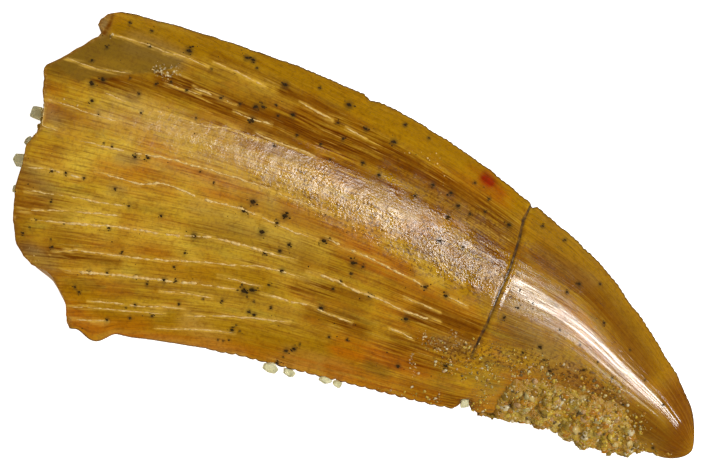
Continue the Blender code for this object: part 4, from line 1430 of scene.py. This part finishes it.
# %% [markdown]
# Cracks along the growth lines have filled with cream mineral. Each is a thin ridge that
# stands a hair proud of the enamel, so it is geometry: a path drawn over the photograph is
# laid on the tooth, and Geometry Nodes wobble it, keep it on the surface, vary its width,
# break it here and there, and sweep a small ring along it.

# %% Paths of the seams
def paths_object(name, paths, width_name):
    """A mesh of bare edges: each path laid on the tooth, with its width on every point."""
    points, edges, widths = [], [], []
    for width, path in paths:
        first = len(points)
        points += [land(px, py) for px, py in path]
        edges += [(first + i, first + i + 1) for i in range(len(path) - 1)]
        widths += [width] * len(path)
    mesh = bpy.data.meshes.new(name)
    mesh.from_pydata(points, edges, [])
    store(mesh, width_name, np.array(widths))
    return placed(name, mesh)


seam_paths = paths_object("seam_paths", SEAMS, "seam_width")
print("corners of the seams laid on the tooth:", len(seam_paths.data.vertices))

# %% Tree: seams of mineral
seam_tree, given, output = new_tree("seams_of_mineral", [
    ("Ground", "Object", None),
    ("Half Width", "Float", 0.026),
    ("Step", "Float", 0.045),
    ("Wobble", "Float", 0.065),
    ("Gaps", "Float", 0.42),
    ("Seed", "Float", 0.0),
    ("Material", "Material", None),
])
tree = seam_tree
ground = add(tree, "GeometryNodeObjectInfo", {"Object": given["Ground"]}).outputs["Geometry"]
line = add(tree, "GeometryNodeMeshToCurve", {"Mesh": given["Geometry"]}).outputs[0]
step = times(tree, given["Step"], MM)
line = add(tree, "GeometryNodeResampleCurve", {"Curve": line, "Length": step}, mode="LENGTH").outputs[0]
here = tree.nodes.new("GeometryNodeInputPosition").outputs[0]
seeded = vector_calc(tree, "SCALE", here, 1.0 / MM)
seeded = vector_calc(tree, "ADD", seeded, add(tree, "ShaderNodeCombineXYZ", {"Z": given["Seed"]}).outputs[0])


def seam_noise(scale, detail):
    """Noise of a scale per millimetre at the points of a seam."""
    return add(tree, "ShaderNodeTexNoise", {"Vector": seeded, "Scale": scale, "Detail": detail}).outputs


sway = vector_calc(tree, "SUBTRACT", seam_noise(3.2, 4.0)["Color"], (0.5, 0.5, 0.5))
sway = vector_calc(tree, "SCALE", sway, times(tree, given["Wobble"], 2 * MM))
swayed = vector_calc(tree, "ADD", here, sway)
nearest = add(tree, "GeometryNodeProximity", {"Geometry": ground, "Sample Position": swayed})
line = add(tree, "GeometryNodeSetPosition", {"Geometry": line, "Position": nearest.outputs["Position"]})
along = tree.nodes.new("GeometryNodeSplineParameter").outputs["Factor"]
ends = times(tree, fit(tree, along, 0.0, 0.12), fit(tree, along, 0.88, 1.0, 1.0, 0.0))
swell = fit(tree, seam_noise(6.5, 3.0)["Fac"], 0.3, 0.7, 0.2, 1.6)
whole = fit(tree, seam_noise(1.7, 3.0)["Fac"], calc(tree, "SUBTRACT", given["Gaps"], 0.03), given["Gaps"])
width = times(tree, swell, whole, times(tree, ends, named(tree, "seam_width")))
width = times(tree, width, times(tree, given["Half Width"], MM))
ring = add(tree, "GeometryNodeCurvePrimitiveCircle", {"Resolution": 6, "Radius": 1.0}).outputs[0]
swept = add(tree, "GeometryNodeCurveToMesh",
            {"Curve": line.outputs[0], "Profile Curve": ring, "Scale": width})
close_tree(tree, swept.outputs[0], given["Material"], output)
print("tree:", tree.name)

# %% Mineral of the seams
CREAM_TONES = ((230, 200, 128), (190, 142, 58))

mineral, tree, shader = new_material("cream_mineral")
blotch = mottled(tree, 0.11, 2.0, 0.9)
put(tree, shader, "Base Color", between(tree, blotch, CREAM_TONES))
put(tree, shader, "Roughness", fit(tree, blotch, 0.0, 1.0, 0.42, 0.7))
seams = made_by(seam_tree, seam_paths, "mineral_seams", {"Ground": tooth, "Material": mineral})

# %% [markdown]
# Black manganese has grown as dots on the enamel. The large ones are listed one by one, each with
# a few small ones round it, and the rest are scattered by a seed. The tree turns every dot to
# lie flat on the surface and squashes it, so that only a low dark blister shows.

# %% Places of the dots
# Radius in pixels, then where they are.
DOTS = {
    3.6: [(189, 51), (285, 85), (349, 105), (253, 202), (285, 216), (262, 232), (244, 291), (252, 290)],
    3.0: [(256, 107), (247, 58), (253, 60), (293, 115), (252, 120), (103, 80), (92, 84), (324, 241),
          (194, 236), (244, 211), (321, 308), (394, 142), (509, 225), (406, 319), (282, 271), (353, 263)],
    2.4: [(263, 107), (92, 101), (135, 157), (148, 158), (265, 253), (280, 251), (289, 245), (277, 223),
          (249, 312), (254, 315), (164, 280), (232, 330), (294, 349), (286, 351), (277, 363), (370, 296),
          (425, 287), (446, 296), (440, 241), (451, 193), (458, 206), (379, 175), (363, 163), (366, 129),
          (405, 125), (398, 366), (446, 366), (579, 284), (540, 347), (550, 371), (433, 185), (448, 217)],
    1.8: [(107, 47), (92, 60), (130, 23), (152, 31), (150, 46), (156, 84), (171, 82), (187, 90),
          (139, 94), (141, 113), (98, 115), (112, 147), (52, 171), (66, 173), (84, 178), (115, 189),
          (129, 206), (51, 202), (161, 216), (109, 228), (23, 233), (52, 247), (122, 252), (185, 253),
          (174, 267), (90, 272), (107, 273), (136, 277), (176, 281), (147, 284), (75, 287), (79, 292),
          (179, 304), (135, 305), (130, 318), (107, 320), (152, 316), (257, 68), (320, 88), (221, 98),
          (240, 104), (276, 105), (278, 116), (274, 146), (297, 135), (338, 123), (343, 139), (321, 144),
          (429, 138), (392, 142), (475, 183), (415, 196), (489, 199), (356, 263), (363, 267), (340, 282),
          (333, 289), (351, 274), (269, 285), (271, 308), (222, 301), (329, 337), (347, 340), (565, 240),
          (543, 226), (600, 284), (567, 292), (518, 308), (504, 318), (485, 212), (470, 214), (463, 247),
          (584, 370), (604, 323), (623, 405), (663, 405), (605, 437), (653, 448), (523, 353), (544, 360)],
    1.2: [(104, 143), (64, 224), (36, 220), (30, 227), (51, 239), (126, 308), (212, 69), (196, 118),
          (130, 78), (254, 302), (203, 299), (352, 274), (218, 340), (223, 341), (229, 340), (236, 325),
          (240, 331), (300, 344), (283, 357), (262, 103), (241, 207), (248, 214), (238, 290), (258, 288),
          (247, 297), (242, 285), (330, 238), (319, 244), (200, 172), (214, 182), (330, 160), (301, 172),
          (520, 290), (533, 303), (560, 330), (580, 345), (598, 362), (612, 378), (630, 350), (645, 380)],
}
SMALL_DOTS_EACH, SMALL_DOT_SHARE = (1, 4), (0.22, 0.6)
SMALL_DOT_REACH, REACH_RADIUS = 5.5, 3  # in pixels, beside a dot of that radius
NEAREST_SHARE = 0.25
DOT_SHRINK = 0.9
HALO_CORE, HALO_REACH = 0.5, 2.0  # shares of a dot's radius

dice = random.Random(11)
dot_rows = []
for radius, places in DOTS.items():
    for px, py in places:
        dot_rows.append((radius * DOT_SHRINK, px, py))
        for _ in range(dice.randint(*SMALL_DOTS_EACH)):
            turn = dice.uniform(0, math.tau)
            reach = dice.uniform(NEAREST_SHARE, 1.0) * SMALL_DOT_REACH * radius / REACH_RADIUS
            small = radius * dice.uniform(*SMALL_DOT_SHARE)
            dot_rows.append((small, px + reach * math.cos(turn), py + reach * math.sin(turn)))
dot_mesh = bpy.data.meshes.new("dot_places")
dot_mesh.from_pydata([land(px, py) for _, px, py in dot_rows], [], [])
dot_places = placed("dot_places", dot_mesh)
store(dot_mesh, "dot_radius", np.array([radius for radius, _, _ in dot_rows]) / PIXELS_PER_MM)

halo = np.zeros(U.shape)
for radius, places in DOTS.items():
    for place in places:
        gap = np.linalg.norm(PIXELS - place, axis=-1)
        halo = np.maximum(halo, 1 - ramp(gap, radius * HALO_CORE, radius * HALO_REACH))
store(tooth.data, "dot_halo", for_all(halo * upper_flank, 0.0))
store(tooth.data, "dot_share", for_all(ramp(OUTER[..., 2], 0.1, 0.2), 0.0))
print("dots placed by eye and beside them:", len(dot_rows))


# %% Small shapes to repeat
def lump_shapes(name, seeds, corners, roundness, smooth):
    """A hidden collection of small lumps, each the hull of a few random points."""
    kit = bpy.data.collections.new(name)
    for seed in seeds:
        roll = random.Random(seed)
        body = bmesh.new()
        for _ in range(corners):
            way = Vector([roll.gauss(0, 1) for _ in range(3)]).normalized()
            body.verts.new(way * roll.uniform(roundness, 1.0))
        hull = bmesh.ops.convex_hull(body, input=body.verts)
        loose = [e for e in hull["geom_interior"] if isinstance(e, bmesh.types.BMVert)]
        bmesh.ops.delete(body, geom=loose, context="VERTS")
        bmesh.ops.recalc_face_normals(body, faces=body.faces)
        mesh = bpy.data.meshes.new(f"{name}_{seed}")
        body.to_mesh(mesh)
        body.free()
        if smooth:
            mesh.shade_smooth()
        kit.objects.link(bpy.data.objects.new(mesh.name, mesh))
    return kit


blister_shapes = lump_shapes("blister", (1, 2, 3, 4), 20, 0.62, False)
grain_shapes = lump_shapes("grain", (5, 6, 7, 8, 9), 22, 0.72, True)

# %% Tree: lumps on a surface
# It serves the dots and every kind of sand: lumps at the given points, and lumps scattered
# over the given faces. Which faces, and how densely, is a value stored on them.
lump_tree, given, output = new_tree("lumps_on_a_surface", [
    ("Ground", "Object", None),
    ("Shapes", "Collection", None),
    ("Density", "Float", 0.0),
    ("Density Name", "String", "lump_share"),
    ("Smallest", "Float", 0.02),
    ("Largest", "Float", 0.05),
    ("Flatness", "Float", 0.35),
    ("Lift", "Float", 0.0),
    ("Seed", "Int", 0),
    ("Material", "Material", None),
])
tree = lump_tree
ground = add(tree, "GeometryNodeObjectInfo", {"Object": given["Ground"]}).outputs["Geometry"]
share = add(tree, "GeometryNodeInputNamedAttribute", {"Name": given["Density Name"]}, data_type="FLOAT")
density = times(tree, given["Density"], 1.0 / MM**2, share.outputs[0])
scattered = add(
    tree, "GeometryNodeDistributePointsOnFaces",
    {"Mesh": ground, "Density": density, "Seed": given["Seed"]}, distribute_method="RANDOM",
).outputs[0]


def random_number(low, high, seed_shift):
    """A number of its own for each lump."""
    seed = plus(tree, given["Seed"], float(seed_shift))
    node = tree.nodes.new("FunctionNodeRandomValue")
    node.data_type = "FLOAT"
    for number, value in ((2, low), (3, high), (8, seed)):
        put(tree, node, number, value)
    return node.outputs[1]


luck = calc(tree, "POWER", random_number(0.0, 1.0, 1), 2.0)
span = calc(tree, "SUBTRACT", given["Largest"], given["Smallest"])
scattered_size = plus(tree, given["Smallest"], times(tree, luck, span))
scattered = add(tree, "GeometryNodeStoreNamedAttribute",
                {"Geometry": scattered, "Name": "dot_radius", "Value": scattered_size}).outputs[0]
places = add(tree, "GeometryNodeMeshToPoints", {"Mesh": given["Geometry"]}).outputs[0]
joined = tree.nodes.new("GeometryNodeJoinGeometry")
tree.links.new(places, joined.inputs[0])
tree.links.new(scattered, joined.inputs[0])
facing = add(tree, "GeometryNodeSampleNearestSurface", {
    "Mesh": ground, "Value": tree.nodes.new("GeometryNodeInputNormal").outputs[0],
}, data_type="FLOAT_VECTOR")
upright = add(tree, "FunctionNodeAlignRotationToVector", {"Vector": facing.outputs[0]}, axis="Z").outputs[0]
spin = add(tree, "FunctionNodeAxisAngleToRotation",
           {"Axis": (0.0, 0.0, 1.0), "Angle": random_number(0.0, math.tau, 2)})
turned = add(tree, "FunctionNodeRotateRotation", {"Rotation": upright, "Rotate By": spin.outputs[0]},
             rotation_space="LOCAL").outputs[0]
radius = times(tree, named(tree, "dot_radius"), MM)
uneven = times(tree, radius, random_number(0.65, 1.0, 3))
flat = times(tree, radius, given["Flatness"])
size = add(tree, "ShaderNodeCombineXYZ", {"X": radius, "Y": uneven, "Z": flat})
raise_by = vector_calc(tree, "SCALE", facing.outputs[0], times(tree, radius, given["Lift"]))
raised = add(tree, "GeometryNodeSetPosition", {"Geometry": joined.outputs[0], "Offset": raise_by}).outputs[0]
toned = add(tree, "GeometryNodeStoreNamedAttribute",
            {"Geometry": raised, "Name": "tone", "Value": random_number(0.0, 1.0, 4)}).outputs[0]
kit = add(tree, "GeometryNodeCollectionInfo",
          {"Collection": given["Shapes"], "Separate Children": True, "Reset Children": True})
pick = calc(tree, "FLOOR", random_number(0.0, 4.999, 5))
lumps = add(tree, "GeometryNodeInstanceOnPoints", {
    "Points": toned, "Instance": kit.outputs[0], "Pick Instance": True, "Instance Index": pick,
    "Rotation": turned, "Scale": size.outputs[0],
})
close_tree(tree, lumps.outputs[0], given["Material"], output)
print("tree:", tree.name)

# %% Dots of manganese
BLACK_TONES, MATT_IOR = ((36, 25, 6), (66, 46, 18)), 1.15

manganese, tree, shader = new_material("black_manganese")
bloom = mottled(tree, 0.07, 4.0, 0.6)
put(tree, shader, "Base Color", between(tree, bloom, BLACK_TONES))
put(tree, shader, "Roughness", fit(tree, bloom, 0.0, 1.0, 0.5, 0.8))
put(tree, shader, "IOR", MATT_IOR)
dots = made_by(lump_tree, dot_places, "manganese_dots", {
    "Ground": tooth, "Shapes": blister_shapes, "Density": 1.2, "Density Name": "dot_share",
    "Smallest": 0.010, "Largest": 0.042, "Flatness": 0.4, "Lift": 0.0, "Seed": 3, "Material": manganese,
})

# %% [markdown]
# Sand is cemented on the hollow edge near the tip, and the pulp cavity is packed with it. The
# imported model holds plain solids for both. Each is copied here, sunk a little into what carries
# it so that no gap shows, remeshed finely and roughened, and then covered with loose grains by
# the same tree that made the dots. Towards its upper border the crust thins out and sinks into
# the enamel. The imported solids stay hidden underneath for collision.


# %% Bodies of sand
def merged_copy(node, name):
    """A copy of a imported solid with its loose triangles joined."""
    body = bmesh.new()
    body.from_mesh(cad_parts[node].data)
    bmesh.ops.remove_doubles(body, verts=body.verts, dist=0.0005 * MM)
    mesh = bpy.data.meshes.new(name)
    body.to_mesh(mesh)
    body.free()
    return placed(name, mesh)


def finely_meshed(thing, voxel):
    """Remeshes an object with small even faces and drops the modifier."""
    remesh = thing.modifiers.new("fine", "REMESH")
    remesh.mode = "VOXEL"
    remesh.voxel_size = voxel * MM
    bpy.context.view_layer.update()
    depsgraph = bpy.context.evaluated_depsgraph_get()
    mesh = bpy.data.meshes.new_from_object(thing.evaluated_get(depsgraph))
    thing.modifiers.clear()
    thing.data = mesh
    mesh.name = thing.name


def roughen(mesh, size, depth, seed):
    """Pushes every point along its normal by noise. Size and depth are in millimetres."""
    rises = wobble([v.co / (size * MM) + Vector((seed, 0, 0)) for v in mesh.vertices])
    moved = [v.co + v.normal * (rise * depth * MM) for v, rise in zip(mesh.vertices, rises)]
    mesh.vertices.foreach_set("co", np.array(moved, np.float32).ravel())
    mesh.update()


SINK = 0.14  # how far the crust's hidden side goes into the enamel
SINK_FADE = (0.07, 0.22)  # the gaps to the enamel between which the sinking fades out
CRUST_VOXEL, MATRIX_VOXEL = 0.055, 0.10
CRUST_ROUGHNESS = ((0.75, 0.09, 5.0), (0.30, 0.07, 1.0))  # size, depth and seed
MATRIX_ROUGHNESS = (0.4, 0.07, 2.0)
MATRIX_SWELL = 1.03
# The line where the crust starts on the enamel, and how it thins out and sinks towards it.
CRUST_TOP = [
    (484, 424), (490, 404), (500, 388), (520, 376), (560, 378), (600, 390), (628, 404),
    (646, 440), (650, 470),
]
THIN_START, THIN_REACH, EDGE_SINK, SINK_REACH = 2.0, 30.0, 0.13, 12.0


def from_crust_top(pixels):
    """How far into the crust a point is from the line where it starts, in pixels."""
    return np.where(inside(pixels, CRUST_TOP), from_path(pixels, CRUST_TOP), 0.0)


crust = merged_copy("sand_crust", "sand_crust_body")
for vertex in crust.data.vertices:
    spot, normal, _, gap = GROUND.find_nearest(vertex.co)
    near = 1 - float(ramp(gap / MM, *SINK_FADE))
    vertex.co -= normal * (SINK * near * MM)
finely_meshed(crust, CRUST_VOXEL)
for vertex in crust.data.vertices:
    spot, normal, _, _ = GROUND.find_nearest(vertex.co)
    height = (vertex.co - spot).dot(normal)
    from_top = float(from_crust_top(in_photo(np.array(vertex.co) / MM)))
    if height > 0 and normal.z > 0:
        thinned = height * (1 - float(ramp(from_top, THIN_START, THIN_REACH)))
        sunk = EDGE_SINK * MM * (1 - float(ramp(from_top, 0.0, SINK_REACH)))
        vertex.co -= normal * (thinned + sunk)
for size, depth, seed in CRUST_ROUGHNESS:
    roughen(crust.data, size, depth, seed)
base_sand = merged_copy("base_matrix", "base_sand_body")
low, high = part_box("base_matrix")
middle = (low + high) / 2
for vertex in base_sand.data.vertices:
    vertex.co.yz = middle.yz + (vertex.co.yz - middle.yz) * MATRIX_SWELL
finely_meshed(base_sand, MATRIX_VOXEL)
roughen(base_sand.data, *MATRIX_ROUGHNESS)
print("faces of crust and base sand:", len(crust.data.polygons), len(base_sand.data.polygons))

# %% Where the grains lie
# On the crust they lie where it stands clear of the enamel, and on the enamel they thin out
# above the crust.
STRAY_SAND = [
    (10, 1.0, [(446, 366), (480, 372), (520, 372), (560, 380), (610, 400), (640, 424)]),
    (9, 0.35, [(440, 346), (480, 352), (530, 360), (580, 376), (624, 398)]),
    (8, 0.8, [(474, 424), (480, 404), (490, 386)]),
    (7, 0.7, [(430, 345), (470, 348)]),
    (5, 0.8, [(560, 398), (600, 408), (640, 430)]),
    (5, 0.5, [(640, 448), (668, 456)]),
    (7, 0.5, [(350, 392), (400, 396), (440, 402)]),
]
CLEAR_FOR_GRAINS, CLEAR_FOR_LUMPS = 0.01, 0.03
BASE_FACE = (-12.6, -12.0)  # x between which the grains on the base sand thin out


def height_over_enamel(mesh):
    """How far each point of a mesh stands clear of the enamel, in millimetres."""
    return np.array([
        (v.co - spot).dot(normal) / MM
        for v in mesh.vertices
        for spot, normal, _, _ in [GROUND.find_nearest(v.co)]
    ])


store(tooth.data, "stray_share", for_all(patches_above(STRAY_SAND), 0.0))
crust_height = height_over_enamel(crust.data)
crust_pixels = in_photo(np.array([v.co for v in crust.data.vertices]) / MM)
top_gap = from_crust_top(crust_pixels)
below_top = ramp(top_gap, 1.0, 14.0)
clear = crust_height > CLEAR_FOR_GRAINS
store(crust.data, "lump_share", np.where(clear, 0.3 + 0.7 * below_top, 0.0))
store(crust.data, "border", 1 - ramp(top_gap, 2.0, 20.0))
store(crust.data, "big_share", np.where(crust_height > CLEAR_FOR_LUMPS, below_top, 0.0))
face_x = np.array([v.co.x / MM for v in base_sand.data.vertices])
store(base_sand.data, "lump_share", 1 - ramp(face_x, *BASE_FACE))
print("crust points clear of the enamel:", int(clear.sum()))

# %% Sand and pale crumbs
SAND_TONES = [
    (198, 146, 34), (168, 138, 52), (218, 182, 62), (186, 124, 32), (188, 170, 106), (148, 116, 42),
    (216, 188, 114), (192, 152, 48), (202, 160, 106), (164, 118, 36), (224, 206, 160), (206, 162, 54),
    (112, 90, 50), (200, 138, 32), (162, 126, 46), (208, 176, 74),
]

DUST, DUST_SHARE = (140, 100, 34), 0.2
SAND_CLARITY, QUARTZ_IOR = 0.25, 1.54
CEMENT_TONES = ((178, 116, 14), (162, 138, 48))
# The middle colour of these three is painted shade between the grains.
CEMENT_SPECKLE, CEMENT_SHADE, CEMENT_BORDER = (200, 164, 76), (118, 80, 18), (150, 100, 18)
# Colour, size, seed and share of the spots in the cement.
CEMENT_SPOTS = (
    ((204, 184, 110), 0.35, 43.0, 0.8),
    ((176, 96, 18), 0.45, 47.0, 0.6),
    ((196, 172, 40), 0.3, 49.0, 0.8),
)
PIMPLE_HEIGHT = 0.035 * MM

sand, tree, shader = new_material("cemented_sand")
tone = add(tree, "ShaderNodeValToRGB")
tone.color_ramp.interpolation = "CONSTANT"
for i, seen in enumerate(SAND_TONES):
    share = i / len(SAND_TONES)
    stop = tone.color_ramp.elements[0] if i == 0 else tone.color_ramp.elements.new(share)
    stop.position, stop.color = share, as_seen(*seen)
tree.links.new(stored(tree, "tone"), tone.inputs[0])
dust = mottled(tree, 0.09, 6.0, 0.5)
dusty = blend(tree, times(tree, dust, DUST_SHARE), tone.outputs[0], as_seen(*DUST))
put(tree, shader, "Base Color", dusty)
put(tree, shader, "Roughness", fit(tree, dust, 0.0, 1.0, 0.10, 0.35))
put(tree, shader, "IOR", QUARTZ_IOR)
put(tree, shader, "Transmission Weight", SAND_CLARITY)

cement, tree, shader = new_material("sandy_cement")
speckle = mottled(tree, 0.12, 7.0, 0.7)
patch = mottled(tree, 0.8, 9.0, 0.7)
colour = between(tree, patch, CEMENT_TONES)
for seen, size, seed, share in CEMENT_SPOTS:
    spots = fit(tree, mottled(tree, size, seed, 0.8), 0.55, 0.95)
    colour = blend(tree, times(tree, spots, share), colour, as_seen(*seen))
colour = blend(tree, times(tree, speckle, 0.35), colour, as_seen(*CEMENT_SPECKLE))
# Painted shade: darker patches that stand for the shadows between the grains.
painted_hollow_shade = mottled(tree, 0.2, 15.0, 0.8)
painted_hollow_shade = times(tree, fit(tree, painted_hollow_shade, 0.5, 1.0), 0.5)
colour = blend(tree, painted_hollow_shade, colour, as_seen(*CEMENT_SHADE))
colour = blend(tree, times(tree, stored(tree, "border"), 0.6), colour, as_seen(*CEMENT_BORDER))
put(tree, shader, "Base Color", colour)
put(tree, shader, "Roughness", fit(tree, speckle, 0.0, 1.0, 0.14, 0.42))
pimples = add(tree, "ShaderNodeBump", {"Height": speckle, "Strength": 1.0, "Distance": PIMPLE_HEIGHT})
put(tree, shader, "Normal", pimples.outputs[0])
for body in (crust, base_sand):
    body.data.materials.clear()
    body.data.materials.append(cement)
    body.data.shade_smooth()
print("sand tones:", len(SAND_TONES))

# %% Scatter the grains
# Where they lie and by which stored value, how many to a square millimetre, smallest and
# largest radius, flatness, lift, seed and material. Each kind starts from an empty mesh.
GRAINS = {
    "crust_grains": (crust, "lump_share", 52.0, 0.02, 0.10, 0.6, 0.0, 21, sand),
    "crust_lumps": (crust, "big_share", 23.0, 0.09, 0.26, 0.45, -0.2, 25, sand),
    "stray_grains": (tooth, "stray_share", 60.0, 0.02, 0.09, 0.45, 0.0, 22, sand),
    "base_sand_grains": (base_sand, "lump_share", 9.0, 0.05, 0.17, 0.85, 0.1, 23, sand),
    "pale_crumbs": (tooth, "crumb_share", 16.0, 0.012, 0.06, 0.45, 0.1, 24, mineral),
}
LABELS = (
    "Ground", "Density Name", "Density", "Smallest", "Largest", "Flatness", "Lift", "Seed", "Material",
)

scattered_pieces = []
for name, values in GRAINS.items():
    carrier = placed(name + "_carrier", bpy.data.meshes.new(name + "_carrier"))
    inputs = {"Shapes": grain_shapes, **dict(zip(LABELS, values))}
    scattered_pieces.append(made_by(lump_tree, carrier, name, inputs))

# %% [markdown]
# A few quartz grains cling to the saw edge and to the sand of the base. They are frosted and let
# some light through, so they take on the colour of the table. Each replaces its packed ball with
# a finer, chipped form: a ball cut by a ring of slanting planes and one above and one below, which
# leaves flat facets and rounded corners, as on a worn grain.

# %% Quartz grains
SIDES = 6
FACET_DEPTH, END_DEPTH = (0.5, 0.78), 0.6
END_TILT, SIDE_TURN, SIDE_TILT = 0.3, 0.3, 0.4
QUARTZ_SWELL, TOWARDS_ENAMEL = 1.3, 0.3
GRAIN_UNEVENNESS, UNEVEN_SCALE = 0.06, 2.2
QUARTZ_TONES, QUARTZ_CLARITY = ((236, 230, 186), (212, 206, 154)), 0.4

quartz, tree, shader = new_material("clear_quartz")
frost = mottled(tree, 0.22, 12.0, 0.5)
put(tree, shader, "Base Color", between(tree, frost, QUARTZ_TONES))
put(tree, shader, "Roughness", fit(tree, frost, 0.0, 1.0, 0.2, 0.4))
put(tree, shader, "IOR", QUARTZ_IOR)
put(tree, shader, "Transmission Weight", QUARTZ_CLARITY)


def quartz_grain(node, seed):
    """A chipped grain in the place and size of a packed one."""
    low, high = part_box(node)
    middle, half = (low + high) / 2, (high - low) / 2 * QUARTZ_SWELL
    middle = middle.lerp(GROUND.find_nearest(middle)[0], TOWARDS_ENAMEL)
    roll = random.Random(seed)
    cuts = []
    for up in (-1, 1):
        way = Vector((roll.uniform(-END_TILT, END_TILT), roll.uniform(-END_TILT, END_TILT), up))
        cuts.append((way, END_DEPTH))
    for i in range(SIDES):
        turn = math.tau * (i + roll.uniform(-SIDE_TURN, SIDE_TURN)) / SIDES
        way = Vector((math.cos(turn), math.sin(turn), roll.uniform(-SIDE_TILT, SIDE_TILT)))
        cuts.append((way.normalized(), roll.uniform(*FACET_DEPTH)))
    body = bmesh.new()
    bmesh.ops.create_icosphere(body, subdivisions=4, radius=1.0)
    for vertex in body.verts:
        for way, depth in cuts:
            over = vertex.co.dot(way) - depth
            if over > 0:
                vertex.co -= way * over
        uneven = wobble([vertex.co * UNEVEN_SCALE + Vector((seed, 0, 0))])[0]
        vertex.co *= 1 + GRAIN_UNEVENNESS * uneven
        vertex.co = middle + Vector([c * h for c, h in zip(vertex.co, half)])
    mesh = bpy.data.meshes.new(node.replace("grain", "quartz"))
    body.to_mesh(mesh)
    body.free()
    mesh.materials.append(quartz)
    mesh.shade_smooth()
    return placed(mesh.name, mesh)


quartz_nodes = sorted(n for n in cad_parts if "grain" in n)
quartz_grains = {node: quartz_grain(node, 40 + i) for i, node in enumerate(quartz_nodes)}
print("quartz grains:", ", ".join(quartz_nodes))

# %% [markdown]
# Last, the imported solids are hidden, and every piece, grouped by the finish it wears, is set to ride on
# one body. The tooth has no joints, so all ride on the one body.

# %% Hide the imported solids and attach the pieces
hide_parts("tooth")
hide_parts("sand_crust")
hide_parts("base_matrix")
for node, piece in quartz_grains.items():
    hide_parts(node)
SLOTS = {
    "enamel": [tooth, seams, dots],
    "sandy_matrix": [crust, base_sand, *scattered_pieces],
    "quartz": list(quartz_grains.values()),
}
for slot, pieces in SLOTS.items():
    for piece in pieces:
        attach(piece, "root")
print("pieces:", sum(len(pieces) for pieces in SLOTS.values()))
